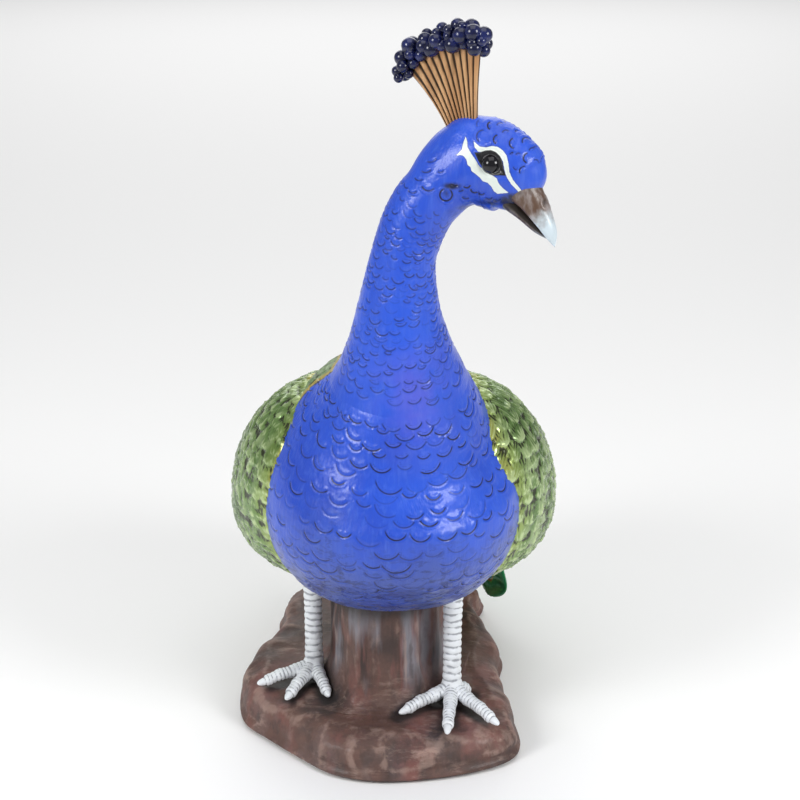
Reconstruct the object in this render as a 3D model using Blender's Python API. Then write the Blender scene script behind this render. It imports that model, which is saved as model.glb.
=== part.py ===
"""A peacock statue cast in one with its tree stump and ground, and two inset eyes.

The bird faces -Y and looks to its own left, +X. Sizes are in metres, +Z is up, and the origin is on the
underside of the ground, below the middle of the body. Tables that give the pose hold thousandths of the
bird's own height, measured up from the top of the ground.
"""

import math

import bmesh
import bpy
from mathutils import Vector

# The bird, from the top of the ground to the top of its crest.
BIRD_HEIGHT = 0.585
POSE_UNIT = BIRD_HEIGHT / 1000

# The ground that the statue stands on, and the stump that carries the belly.
GROUND_WIDTH = 0.241
GROUND_DEPTH = 0.312
GROUND_THICKNESS = 0.035
GROUND_MIDDLE = Vector((-0.020, 0.044, 0.0))
STUMP_WIDTH = 0.094
STUMP_DEPTH = 0.120
STUMP_MIDDLE = Vector((-0.012, 0.014, 0.0))
SINK = 0.010

# Sizes of the small forms.
EYE_DIAMETER = 0.0150
EYE_GAP = 0.0003
SHANK_DIAMETER = 0.0165
TOE_DIAMETER = 0.0130
QUILL_COUNT = 11
BEAD_DIAMETER = 0.0145
BEADS_ALONG = 7

# Paints: name, colour, roughness and metallic value.
BLUE = ("blue_paint", (0.055, 0.115, 0.62, 1), 0.35, 0.0)
WING_GREEN = ("wing_green_paint", (0.20, 0.36, 0.10, 1), 0.40, 0.6)
TRAIN_GREEN = ("train_green_paint", (0.02, 0.16, 0.06, 1), 0.40, 0.3)
QUILL_TAN = ("quill_tan_paint", (0.45, 0.26, 0.11, 1), 0.50, 0.0)
BEAD_NAVY = ("bead_navy_paint", (0.010, 0.020, 0.10, 1), 0.20, 0.0)
BILL_HORN = ("bill_horn_paint", (0.32, 0.27, 0.25, 1), 0.45, 0.0)
LEG_PALE = ("leg_pale_paint", (0.70, 0.72, 0.72, 1), 0.45, 0.0)
EARTH_BROWN = ("earth_brown_paint", (0.13, 0.075, 0.055, 1), 0.70, 0.0)
EYE_BLACK = ("eye_black_glass", (0.006, 0.006, 0.008, 1), 0.05, 0.0)

# Body, neck and head, from the belly up to the forehead. Each row is the middle of a section, its half
# width, its reach to the back and to the front, and the degrees it is turned to the bird's left.
TRUNK = (
    (-10, -51, 147, 0, 0, 0, 0),
    (-10, -48, 157, 77, 85, 68, 0),
    (-10, -41, 183, 126, 154, 116, 0),
    (-10, -34, 222, 159, 214, 154, 0),
    (-10, -31, 268, 178, 253, 179, 0),
    (-10, -31, 320, 183, 265, 188, 0),
    (-10, -34, 371, 173, 244, 181, 0),
    (-7, -44, 421, 149, 197, 159, 0),
    (-2, -58, 468, 120, 140, 126, 0),
    (0, -70, 515, 94, 96, 97, 0),
    (-1, -79, 561, 74, 72, 77, 2),
    (-2, -85, 609, 59, 58, 62, 6),
    (0, -89, 656, 49, 50, 51, 12),
    (5, -91, 697, 43, 44, 45, 20),
    (16, -91, 732, 43, 45, 42, 28),
    (31, -91, 762, 43, 45, 42, 38),
    (46, -92, 782, 43, 45, 43, 44),
    (65, -95, 804, 44, 52, 47, 50),
    (87, -99, 818, 45, 60, 52, 53),
    (117, -107, 823, 45, 62, 58, 55),
    (143, -123, 816, 42, 53, 56, 56),
    (160, -134, 804, 34, 42, 43, 56),
    (171, -142, 796, 20, 26, 24, 56),
    (176, -145, 792, 0, 0, 0, 56),
)
UPPER_BILL = (
    (140, -127, 806, 0, 0, 0, 56),
    (152, -135, 800, 24, 26, 14, 56),
    (168, -147, 782, 21, 22, 9, 56),
    (182, -157, 762, 15, 16, 6, 56),
    (192, -164, 745, 9, 10, 4, 56),
    (198, -168, 731, 0, 0, 0, 56),
)
LOWER_BILL = (
    (128, -120, 792, 0, 0, 0, 56),
    (144, -131, 785, 21, 12, 13, 56),
    (162, -144, 768, 16, 9, 9, 56),
    (178, -155, 752, 10, 6, 6, 56),
    (192, -164, 739, 0, 0, 0, 56),
)
# The mantle of green scale feathers over the back, and the train that falls from the rump. In the train
# the reach to the back is that of its under side.
TRAIN = (
    (-10, 130, 380, 0, 0, 0, 0),
    (-10, 165, 375, 100, 40, 40, 0),
    (-8, 225, 345, 128, 45, 45, 0),
    (-2, 285, 285, 138, 40, 42, 0),
    (14, 325, 215, 140, 34, 36, -6),
    (34, 345, 145, 136, 28, 30, -14),
    (55, 344, 84, 122, 20, 22, -22),
    (64, 340, 44, 118, 16, 18, -26),
    (70, 337, 16, 116, 14, 14, -28),
    (72, 336, 0, 96, 10, 10, -28),
    (73, 336, -7, 0, 0, 0, -28),
)

# Where the feet stand and the toes point: ankle x and y, then heading and length of each toe. A heading
# is in degrees from straight ahead to the bird's left, and the lengths are thousandths of its height.
LEFT_FOOT = ((77, -57), ((-54, 98), (-5, 113), (37, 110)))
RIGHT_FOOT = ((-130, 8), ((-65, 94), (-25, 93), (18, 80)))
HIND_TOES = ((LEFT_FOOT[0], 105, 30), (RIGHT_FOOT[0], 190, 34))
HIP_HEIGHT = 190

# The outline of the ground from above, as shares of its half width and half depth, from the front round
# by the bird's left.
GROUND_OUTLINE = (
    (0.06, -1.00), (0.52, -0.95), (0.88, -0.83), (1.00, -0.67), (0.965, -0.40), (0.90, -0.02),
    (0.935, 0.20), (0.86, 0.42), (0.75, 0.70), (0.82, 0.84), (0.80, 0.93), (0.55, 0.99),
    (0.17, 1.00), (-0.25, 0.98), (-0.64, 0.92), (-0.78, 0.70), (-0.765, 0.46), (-0.86, 0.27),
    (-0.98, 0.08), (-1.00, -0.22), (-0.94, -0.44), (-0.76, -0.60), (-0.53, -0.78), (-0.28, -0.94),
)
# Its profile from the middle of the underside to the middle of the top: shares of the outline and of the
# thickness.
GROUND_PROFILE = ((0.0, 0.0), (0.93, 0.0), (1.0, 0.33), (0.94, 0.76), (0.70, 0.97), (0.0, 1.0))


def pose_point(x, y, z):
    """A point of the bird, from thousandths of its height above the ground to metres."""
    return Vector((x * POSE_UNIT, y * POSE_UNIT, GROUND_THICKNESS + z * POSE_UNIT))


def on_curve(rows, share, closed=False):
    """The values a share of the way down a table, on a smooth curve through its rows."""
    spans = len(rows) if closed else len(rows) - 1
    place = min(max(share, 0.0), 1.0) * spans
    index = min(int(place), spans - 1)
    t = place - index
    if closed:
        picked = [rows[(index + step) % len(rows)] for step in (-1, 0, 1, 2)]
    else:
        picked = [rows[min(max(index + step, 0), spans)] for step in (-1, 0, 1, 2)]
    values = []
    for a, b, c, d in zip(*picked):
        bend = 2 * a - 5 * b + 4 * c - d
        turn = 3 * (b - c) + d - a
        values.append(b + 0.5 * t * (c - a + t * (bend + t * turn)))
    return values


def paint(description):
    """The Principled material of a paint, made once."""
    name, colour, roughness, metallic = description
    material = bpy.data.materials.get(name)
    if material is None:
        material = bpy.data.materials.new(name)
        material.use_nodes = True
        shader = material.node_tree.nodes["Principled BSDF"]
        shader.inputs["Base Color"].default_value = colour
        shader.inputs["Roughness"].default_value = roughness
        shader.inputs["Metallic"].default_value = metallic
        material.diffuse_color = colour
    return material


def ball_form(name, around, along, place, colour, collection):
    """A closed form: a ball whose points go where place(share along, angle around) says."""
    form = bmesh.new()
    bmesh.ops.create_uvsphere(form, u_segments=around, v_segments=along, radius=1.0)
    for vert in form.verts:
        share = math.acos(max(-1.0, min(1.0, -vert.co.z))) / math.pi
        vert.co = place(share, math.atan2(vert.co.y, vert.co.x))
    bmesh.ops.recalc_face_normals(form, faces=form.faces)
    mesh = bpy.data.meshes.new(name)
    form.to_mesh(mesh)
    form.free()
    mesh.materials.append(paint(colour))
    made = bpy.data.objects.new(name, mesh)
    collection.objects.link(made)
    return made


def section_point(rows, share, angle):
    """A point on a form swept through a table's rows: angle 0 is its left side and 90 degrees its back."""
    x, y, z, half_width, back, front, turn = on_curve(rows, share)
    step = 0.25 / len(rows)
    ahead = Vector(on_curve(rows, share + step)[:3]) - Vector(on_curve(rows, share - step)[:3])
    ahead.normalize()
    side = Vector((math.cos(math.radians(turn)), math.sin(math.radians(turn)), 0.0))
    side = (side - ahead * side.dot(ahead)).normalized()
    rear = ahead.cross(side)
    reach = back if math.sin(angle) > 0 else front
    across = side * (half_width * math.cos(angle)) + rear * (reach * math.sin(angle))
    return pose_point(x, y, z) + across * POSE_UNIT


def swept_form(name, rows, around, along, colour, collection):
    return ball_form(name, around, along, lambda s, a: section_point(rows, s, a), colour, collection)


def blunt(share, sharpness=0.2):
    """A radius factor that is nearly 1 along a limb and closes it at both ends."""
    return max(math.sin(math.pi * share), 0.0) ** sharpness


def add_legs(forms):
    for foot, (ankle, toes) in (("left", LEFT_FOOT), ("right", RIGHT_FOOT)):
        def shank(share, angle, ankle=ankle):
            radius = SHANK_DIAMETER / 2 * blunt(share, 0.10) * (0.94 + 0.10 * share)
            centre = pose_point(ankle[0], ankle[1], 12 + (HIP_HEIGHT - 12) * share)
            return centre + Vector((math.cos(angle), math.sin(angle), 0.0)) * radius

        ball_form(foot + "_shank", 8, 6, shank, LEG_PALE, forms)
        for number, (heading, length) in enumerate(toes):
            add_toe(f"{foot}_toe_{number}", ankle, heading, length, 0.62, forms)
    for number, (ankle, heading, length) in enumerate(HIND_TOES):
        add_toe(f"hind_toe_{number}", ankle, heading, length, 0.30, forms)


def add_toe(name, ankle, heading, length, pads, forms):
    """A toe with soft joints and a claw, from inside the ankle to its tip on the ground."""
    ahead = Vector((math.sin(math.radians(heading)), -math.cos(math.radians(heading)), 0.0))
    side = Vector((-ahead.y, ahead.x, 0.0))
    claw_from = 0.80

    def place(share, angle):
        thick = TOE_DIAMETER / 2 * blunt(min(share, 0.5), 0.5)
        thick *= 1.0 + 0.08 * math.cos(share * 6 * math.pi * pads)
        if share > claw_from:
            thick *= 0.62 * (1 - (share - claw_from) / (1 - claw_from)) ** 0.6
        rise = TOE_DIAMETER * (0.32 + 0.80 * (1 - share) ** 2)
        centre = pose_point(*ankle, 0) + ahead * (length * POSE_UNIT * share) + Vector((0, 0, rise))
        return centre + side * (thick * math.cos(angle)) + Vector((0, 0, thick * math.sin(angle)))

    ball_form(name, 6, 7, place, LEG_PALE, forms)


def ground_point(share, angle):
    outline = on_curve(GROUND_OUTLINE, (angle / (2 * math.pi) + 0.25) % 1.0, closed=True)
    reach, level = on_curve(GROUND_PROFILE, share)
    x = GROUND_MIDDLE.x + outline[0] * reach * GROUND_WIDTH / 2
    y = GROUND_MIDDLE.y + outline[1] * reach * GROUND_DEPTH / 2
    return Vector((x, y, max(level, 0.0) * GROUND_THICKNESS))


def stump_point(share, angle):
    foot, top = GROUND_THICKNESS - SINK, pose_point(0, 0, 230).z
    flare = 1.0 + 0.50 * (1 - share) ** 8
    folds = 1.0 + 0.05 * math.cos(3 * angle + 0.6) + 0.04 * math.cos(7 * angle + 2 + 2 * share)
    reach = blunt(share, 0.06) * flare * folds
    x = STUMP_MIDDLE.x + reach * STUMP_WIDTH / 2 * math.cos(angle)
    y = STUMP_MIDDLE.y + reach * STUMP_DEPTH / 2 * math.sin(angle)
    return Vector((x, y, foot + (top - foot) * share))


# The wings and the mantle are lobes over the body: middle, reach to the side, to the back, up and down,
# and how far the lobe leans forward for its height.
WING = ((62, 82, 270), 177, 190, 208, 126, 0.30)
MANTLE = ((0, 98, 342), 142, 185, 150, 170, 0.30)
BODY_X = -10
UPPER_ROUNDING = 0.95
LOWER_ROUNDING = 0.86
# The rows of wing feathers: degrees of rise, how many, the swing of the first and the last, their length.
FEATHER_ROWS = ((50, 3, -40, 46, 78), (24, 3, -46, 50, 96), (-2, 3, -48, 50, 104), (-28, 3, -42, 50, 82))
FEATHER_THICKNESS = 15


def rounded(value, power):
    return math.copysign(abs(value) ** power, value)


def lobe_point(lobe, side, rise, swing):
    """A point on a lobe, in thousandths. Rise and swing are angles, the swing from the side to the back."""
    middle, wide, deep, up, down, lean = lobe
    power = UPPER_ROUNDING if rise > 0 else LOWER_ROUNDING
    level = rounded(math.cos(rise), power)
    height = rounded(math.sin(rise), power) * (up if rise > 0 else down)
    x = BODY_X + side * (middle[0] + wide * level * math.cos(swing))
    return Vector((x, middle[1] + deep * level * math.sin(swing) - lean * height, middle[2] + height))


def add_feather(name, root, tip, normal, half_width, colour, forms):
    """A feather lying on a form: a flat lens from root to tip, widest near its round tip."""
    run = tip - root
    side = run.cross(normal).normalized()
    lift = FEATHER_THICKNESS / 2

    def place(share, angle):
        width = half_width * math.sin(math.pi * share ** 1.5) ** 0.6 if 0 < share < 1 else 0.0
        depth = lift * blunt(share, 0.7)
        centre = root + run * share + normal * (lift * (share - 0.55))
        spot = centre + side * (width * math.cos(angle)) + normal * (depth * math.sin(angle))
        return pose_point(*spot)

    ball_form(name, 6, 4, place, colour, forms)


def mantle_point(share, angle):
    return pose_point(*lobe_point(MANTLE, 1, math.pi * (share - 0.5), angle))


def add_wings(forms):
    for side, name in ((1, "left"), (-1, "right")):
        def wing(share, angle, side=side):
            return pose_point(*lobe_point(WING, side, math.pi * (share - 0.5), angle))

        ball_form(name + "_wing", 16, 10, wing, WING_GREEN, forms)
        for row, (rise, count, first, last, length) in enumerate(FEATHER_ROWS):
            for number in range(count):
                swing = first + (last - first) * (number + 0.5 * (row % 2)) / (count - 0.5)
                add_wing_feather(f"{name}_feather_{row}_{number}", side, rise, swing, length, forms)


def add_wing_feather(name, side, rise, swing, length, forms):
    def spot(up, round_to_back):
        return lobe_point(WING, side, math.radians(up), math.radians(round_to_back))

    root = spot(rise, swing)
    down = (spot(rise - 4, swing + 2) - root).normalized()
    across = spot(rise, swing + 4) - root
    normal = across.cross(down).normalized()
    if normal.x * side < 0:
        normal = -normal
    tip_direction = (down - normal * 0.16).normalized()
    add_feather(name, root, root + tip_direction * length, normal, length * 0.52, WING_GREEN, forms)


def add_train(forms):
    swept_form("train", TRAIN, 14, 12, TRAIN_GREEN, forms)
    rows = ((0.32, 3, 100), (0.48, 3, 104), (0.64, 3, 100), (0.80, 3, 78))
    for row, (share, count, length) in enumerate(rows):
        for number in range(count):
            angle = math.radians(-90 + 60 * (number - 1 + 0.5 * (row % 2 - 0.5)))
            root = to_pose(section_point(TRAIN, share - 0.08, angle))
            ahead = to_pose(section_point(TRAIN, min(share + 0.04, 0.95), angle)) - root
            across = to_pose(section_point(TRAIN, share - 0.08, angle + 0.1)) - root
            normal = ahead.cross(across).normalized()
            tip = root + ahead.normalized() * length
            add_feather(f"train_feather_{row}_{number}", root, tip, normal, 46, TRAIN_GREEN, forms)


def to_pose(point):
    return Vector((point.x, point.y, point.z - GROUND_THICKNESS)) / POSE_UNIT


# The crest stands in the plane of the head. Its edges are given as thousandths ahead of and above the
# middle of its root, from the front round to the back: the root line, the top of the quills and the
# outer edge of the beads.
CREST_MIDDLE = (82, -99, 871)
CREST_TURN = math.radians(56)
CREST_ROOT = ((20, 9), (0, 2), (-20, -11))
CREST_TOP = ((24, 100), (2, 106), (-22, 102), (-46, 93), (-67, 79), (-82, 59))
CREST_CROWN = ((30, 118), (10, 132), (-18, 129), (-48, 119), (-77, 101), (-98, 76), (-101, 52))
QUILL_LEANS = (32, 60)
FAN_STEPS = (-0.28, -0.02, 0.45, 0.94, 1.08)
# The rows of beads: how far from the quills' tops to the crown, how far off the plane, and their shift.
BEAD_ROWS = ((0.22, 8, 0.0), (0.22, -8, 0.4), (0.78, 7, 0.4), (0.78, -7, 0.0))
FAN_HALF_THICKNESS = 5.5
CORE_RADIUS = 12


def crest_point(ahead, above, off_plane=0.0):
    level = Vector((math.sin(CREST_TURN), -math.cos(CREST_TURN), 0.0))
    across = Vector((math.cos(CREST_TURN), math.sin(CREST_TURN), 0.0))
    spot = Vector(CREST_MIDDLE) + level * ahead + across * off_plane
    return pose_point(spot.x, spot.y, spot.z + above)


def quill_point(place, share, off_plane):
    """A point of the fan: place is 0 at its front edge and 1 at its back, share 0 at the root."""
    root = Vector(on_curve(CREST_ROOT, place))
    top = Vector(on_curve(CREST_TOP, place))
    lean = math.radians(QUILL_LEANS[0] * place)
    bend = root + Vector((-math.sin(lean), math.cos(lean))) * (top - root).length * 0.5
    if share < 0:
        spot = root + (bend - root) * 2 * share
    else:
        spot = root * (1 - share) ** 2 + bend * 2 * share * (1 - share) + top * share ** 2
    return crest_point(spot.x, spot.y, off_plane)


def add_crest(forms):
    def fan(share, angle):
        turn = (angle / (2 * math.pi)) % 1.0
        place = 2 * turn if turn < 0.5 else 2 - 2 * turn
        facing = 1 if turn < 0.5 else -1
        ridge = abs(math.sin(math.pi * QUILL_COUNT * place)) ** 0.5
        edge = min(1.0, 12 * place, 12 * (1 - place))
        ring = round(share * (len(FAN_STEPS) + 1))
        if ring in (1, len(FAN_STEPS)):
            ridge = 0.0
        thick = FAN_HALF_THICKNESS * (0.6 + 0.4 * ridge) * edge
        if ring in (0, len(FAN_STEPS) + 1):
            place, thick = 0.5, 0.0
        step = FAN_STEPS[min(max(ring, 1), len(FAN_STEPS)) - 1]
        return quill_point(place, step, facing * thick)

    ball_form("quills", 4 * QUILL_COUNT, len(FAN_STEPS) + 1, fan, QUILL_TAN, forms)
    def core(share, angle):
        inner, outer = Vector(on_curve(CREST_TOP, share)), Vector(on_curve(CREST_CROWN, share))
        reach = CORE_RADIUS * blunt(share, 0.5)
        spot = inner.lerp(outer, 0.4 + reach * math.sin(angle) / (outer - inner).length)
        return crest_point(spot.x, spot.y, reach * math.cos(angle))

    ball_form("crown_core", 8, 12, core, BEAD_NAVY, forms)
    for row, (blend, off_plane, shift) in enumerate(BEAD_ROWS):
        for number in range(BEADS_ALONG):
            place = (number + shift) / (BEADS_ALONG - 0.5)
            inner, outer = Vector(on_curve(CREST_TOP, place)), Vector(on_curve(CREST_CROWN, place))
            spot = inner.lerp(outer, blend)
            radius = BEAD_DIAMETER / 2 * (1.0 + 0.18 * math.sin(5.0 * number + 2.3 * row))
            add_ball(f"bead_{row}_{number}", crest_point(spot.x, spot.y, off_plane), radius, BEAD_NAVY,
                     forms, 6, 4)


# The eyes, on either side of the head.
HEAD_SHARE = 0.850
EYE_ANGLES = {"left_eye": math.radians(18), "right_eye": math.radians(162)}
EYE_SINK = 0.28


def eye_centre(angle):
    skin = section_point(TRUNK, HEAD_SHARE, angle)
    axis = section_point(TRUNK, HEAD_SHARE, 0.0) + section_point(TRUNK, HEAD_SHARE, math.pi)
    inward = (axis / 2 - skin).normalized()
    return skin + inward * (EYE_DIAMETER * EYE_SINK)


def add_ball(name, centre, radius, colour, collection, around=12, along=8):
    def place(share, angle):
        level = math.sin(math.pi * share)
        spot = Vector((level * math.cos(angle), level * math.sin(angle), -math.cos(math.pi * share)))
        return centre + spot * radius

    return ball_form(name, around, along, place, colour, collection)


def helper_collection(name):
    made = bpy.data.collections.new(name)
    made.hide_render = True
    bpy.context.scene.collection.children.link(made)
    return made


def drop_sealed_gaps(mesh):
    """Removes the small sealed gaps that can stay between forms that are joined."""
    form = bmesh.new()
    form.from_mesh(mesh)
    unseen = set(form.faces)
    shells = []
    while unseen:
        waiting = [unseen.pop()]
        shell = []
        while waiting:
            face = waiting.pop()
            shell.append(face)
            near = {other for edge in face.edges for other in edge.link_faces} & unseen
            unseen -= near
            waiting.extend(near)
        shells.append(shell)
    outside = max(shells, key=len)
    inner = [face for shell in shells if shell is not outside for face in shell]
    bmesh.ops.delete(form, geom=inner, context="FACES")
    form.to_mesh(mesh)
    form.free()


def main():
    for old in list(bpy.data.objects):
        bpy.data.objects.remove(old)
    scene = bpy.context.scene.collection
    forms = helper_collection("forms")
    sockets = helper_collection("sockets")

    casting = swept_form("peacock_statue", TRUNK, 20, 36, BLUE, scene)
    swept_form("upper_bill", UPPER_BILL, 10, 8, BILL_HORN, forms)
    swept_form("lower_bill", LOWER_BILL, 10, 7, BILL_HORN, forms)
    ball_form("mantle", 12, 8, mantle_point, WING_GREEN, forms)
    add_wings(forms)
    add_train(forms)
    add_legs(forms)
    add_crest(forms)
    ball_form("stump", 16, 8, stump_point, EARTH_BROWN, forms)
    ball_form("ground", 30, 10, ground_point, EARTH_BROWN, forms)
    for name, angle in EYE_ANGLES.items():
        add_ball(name, eye_centre(angle), EYE_DIAMETER / 2, EYE_BLACK, scene)
        add_ball(name + "_socket", eye_centre(angle), EYE_DIAMETER / 2 + EYE_GAP, BLUE, sockets)

    for helper in list(forms.objects) + list(sockets.objects):
        helper.hide_render = True
        helper.display_type = "WIRE"
    for operation, operands in (("UNION", forms), ("DIFFERENCE", sockets)):
        cut = casting.modifiers.new(operation.lower(), "BOOLEAN")
        cut.operation = operation
        cut.operand_type = "COLLECTION"
        cut.collection = operands
        cut.solver = "EXACT"
        cut.material_mode = "TRANSFER"
    bpy.context.view_layer.update()
    joined = casting.evaluated_get(bpy.context.evaluated_depsgraph_get())
    casting.data = bpy.data.meshes.new_from_object(joined)
    casting.modifiers.clear()
    drop_sealed_gaps(casting.data)


main()
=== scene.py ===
import math
import random
import bmesh
import bpy
import numpy as np
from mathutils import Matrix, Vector


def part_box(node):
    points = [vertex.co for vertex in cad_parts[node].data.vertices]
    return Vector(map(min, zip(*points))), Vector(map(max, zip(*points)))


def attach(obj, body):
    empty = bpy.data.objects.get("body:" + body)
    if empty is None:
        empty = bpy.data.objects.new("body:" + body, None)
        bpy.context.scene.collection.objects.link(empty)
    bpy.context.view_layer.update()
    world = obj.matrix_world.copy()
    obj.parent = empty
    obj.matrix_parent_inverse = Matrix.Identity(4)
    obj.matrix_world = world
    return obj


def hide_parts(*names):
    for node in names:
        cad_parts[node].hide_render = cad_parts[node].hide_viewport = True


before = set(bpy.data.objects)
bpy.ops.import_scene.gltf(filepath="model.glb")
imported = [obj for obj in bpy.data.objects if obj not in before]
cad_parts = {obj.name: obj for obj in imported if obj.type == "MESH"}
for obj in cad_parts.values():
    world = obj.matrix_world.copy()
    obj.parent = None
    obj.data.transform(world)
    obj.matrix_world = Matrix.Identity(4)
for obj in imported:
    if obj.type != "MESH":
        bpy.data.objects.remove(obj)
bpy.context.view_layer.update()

# The pose tables hold thousandths of the bird's height, measured up from the top of the ground.
figure = {"height": 0.585, "groundTop": 0.035}
poseUnit = figure["height"] / 1000
fullTurn = 2 * math.pi

studio = {
    "cameraPlace": (0.0, -1.39, 0.86), "cameraAim": (0.0, 0.0, 0.30), "lens": 81.0,
    "pictureWidth": 800, "sensor": 36.0,
    "lights": (
        ("rightLight", (1.50, -1.05, 1.30), 0.70, 22.0),
        ("leftLight", (-1.45, -1.10, 1.30), 0.70, 21.0),
        ("topLight", (0.0, -0.25, 2.0), 1.4, 9.0),
        ("backLight", (0.0, 3.3, 2.4), 3.6, 70.0),
    ),
    "lightAim": (0, 0, 0.32), "worldLight": 0.30, "floorWhite": (0.92, 0.92, 0.92), "floorReach": 8,
}


# places and curves

def posePoints(values):
    return np.asarray(values, float) * poseUnit + np.array((0.0, 0.0, figure["groundTop"]))


def tablePoints(places):
    return (places - np.array((0.0, 0.0, figure["groundTop"]))) / poseUnit


def alongCurve(rows, shares, closed=False):
    # values on a smooth curve through a table's rows, at each share of the way along it
    rows = np.asarray(rows, float)
    spans = len(rows) if closed else len(rows) - 1
    place = np.clip(np.asarray(shares, float), 0.0, 1.0) * spans
    index = np.minimum(place.astype(int), spans - 1)
    t = (place - index)[..., None]
    near = []
    for step in (-1, 0, 1, 2):
        found = (index + step) % len(rows) if closed else np.clip(index + step, 0, spans)
        near.append(rows[found])
    a, b, c, d = near
    bend = 2 * a - 5 * b + 4 * c - d
    turn = 3 * (b - c) + d - a
    return b + 0.5 * t * (c - a + t * (bend + t * turn))


def unitRows(vectors):
    return vectors / np.maximum(np.linalg.norm(vectors, axis=-1, keepdims=True), 1e-12)


def smoothStep(low, high, value):
    t = np.clip((np.asarray(value, float) - low) / (high - low), 0.0, 1.0)
    return t * t * (3 - 2 * t)


def sweptPlaces(rows, shares, angles):
    # points on a form swept through a table: angle 0 is its left side and a quarter turn its back
    # each row of the table: middle x, y and z, half width, reach to the back and to the front, turn
    values = alongCurve(rows, shares)
    step = 0.25 / len(rows)
    ahead = alongCurve(rows, shares + step)[:, :3] - alongCurve(rows, shares - step)[:, :3]
    ahead = unitRows(ahead)
    turn = np.radians(values[:, 6])
    side = np.stack((np.cos(turn), np.sin(turn), np.zeros_like(turn)), axis=1)
    side = unitRows(side - ahead * np.sum(side * ahead, axis=1, keepdims=True))
    rear = np.cross(ahead, side)
    reach = np.where(np.sin(angles)[None, :] > 0, values[:, 4:5], values[:, 5:6])
    across = side[:, None, :] * (values[:, 3:4] * np.cos(angles)[None, :])[..., None]
    behind = rear[:, None, :] * (reach * np.sin(angles)[None, :])[..., None]
    return posePoints(values[:, None, :3] + across + behind)


def tableHeight(points):
    # height above the top of the ground, in the tables' thousandths
    return (points[..., 2] - figure["groundTop"]) / poseUnit


def lengthsAlong(points, closed=False):
    # how far along a line of points each of them lies, in mm
    ahead = np.roll(points, -1, axis=0) - points if closed else np.diff(points, axis=0)
    return np.concatenate(((0.0,), np.cumsum(np.linalg.norm(ahead, axis=1) * 1000)))


def bell(value, width, power=2):
    return np.exp(-(value / width) ** power)


def shareOut(counts, edges):
    # values that run through the edges, with the given number of even steps between each pair
    parts = [np.linspace(a, b, n, endpoint=False) for n, a, b in zip(counts, edges[:-1], edges[1:])]
    return np.concatenate(parts)


def evenAngles(columns):
    return np.arange(columns) / columns * fullTurn


def cloud(points, size, seed=0):
    # smooth lumps between -1 and 1 over the points, each lump about as large as size
    spot = points / np.asarray(size, float)
    cell = np.floor(spot).astype(np.int64)
    t = spot - cell
    t = t * t * (3 - 2 * t)
    total = np.zeros(points.shape[:-1])
    for corner in range(8):
        offset = np.array([(corner >> axis) & 1 for axis in range(3)])
        # each cell's corner gets its own number, mixed as in a random number generator
        key = (cell + offset) * np.array((73856093, 19349663, 83492791))
        key = key[..., 0] ^ key[..., 1] ^ key[..., 2] ^ (seed * 2654435)
        key = (key * 1103515245 + 12345) & 0x7FFFFFFF
        key = ((key ^ (key >> 13)) * 69069 + 1) & 0x7FFFFFFF
        weight = np.prod(np.where(offset, t, 1 - t), axis=-1)
        total += weight * ((key >> 12) & 1023)
    return total / 511.5 - 1


# the distance under which points are one, and where a flat cap's two crisp rings lie
skinLimits = {"merge": 1e-7, "capInset": 0.02, "capEdge": 0.04}


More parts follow.
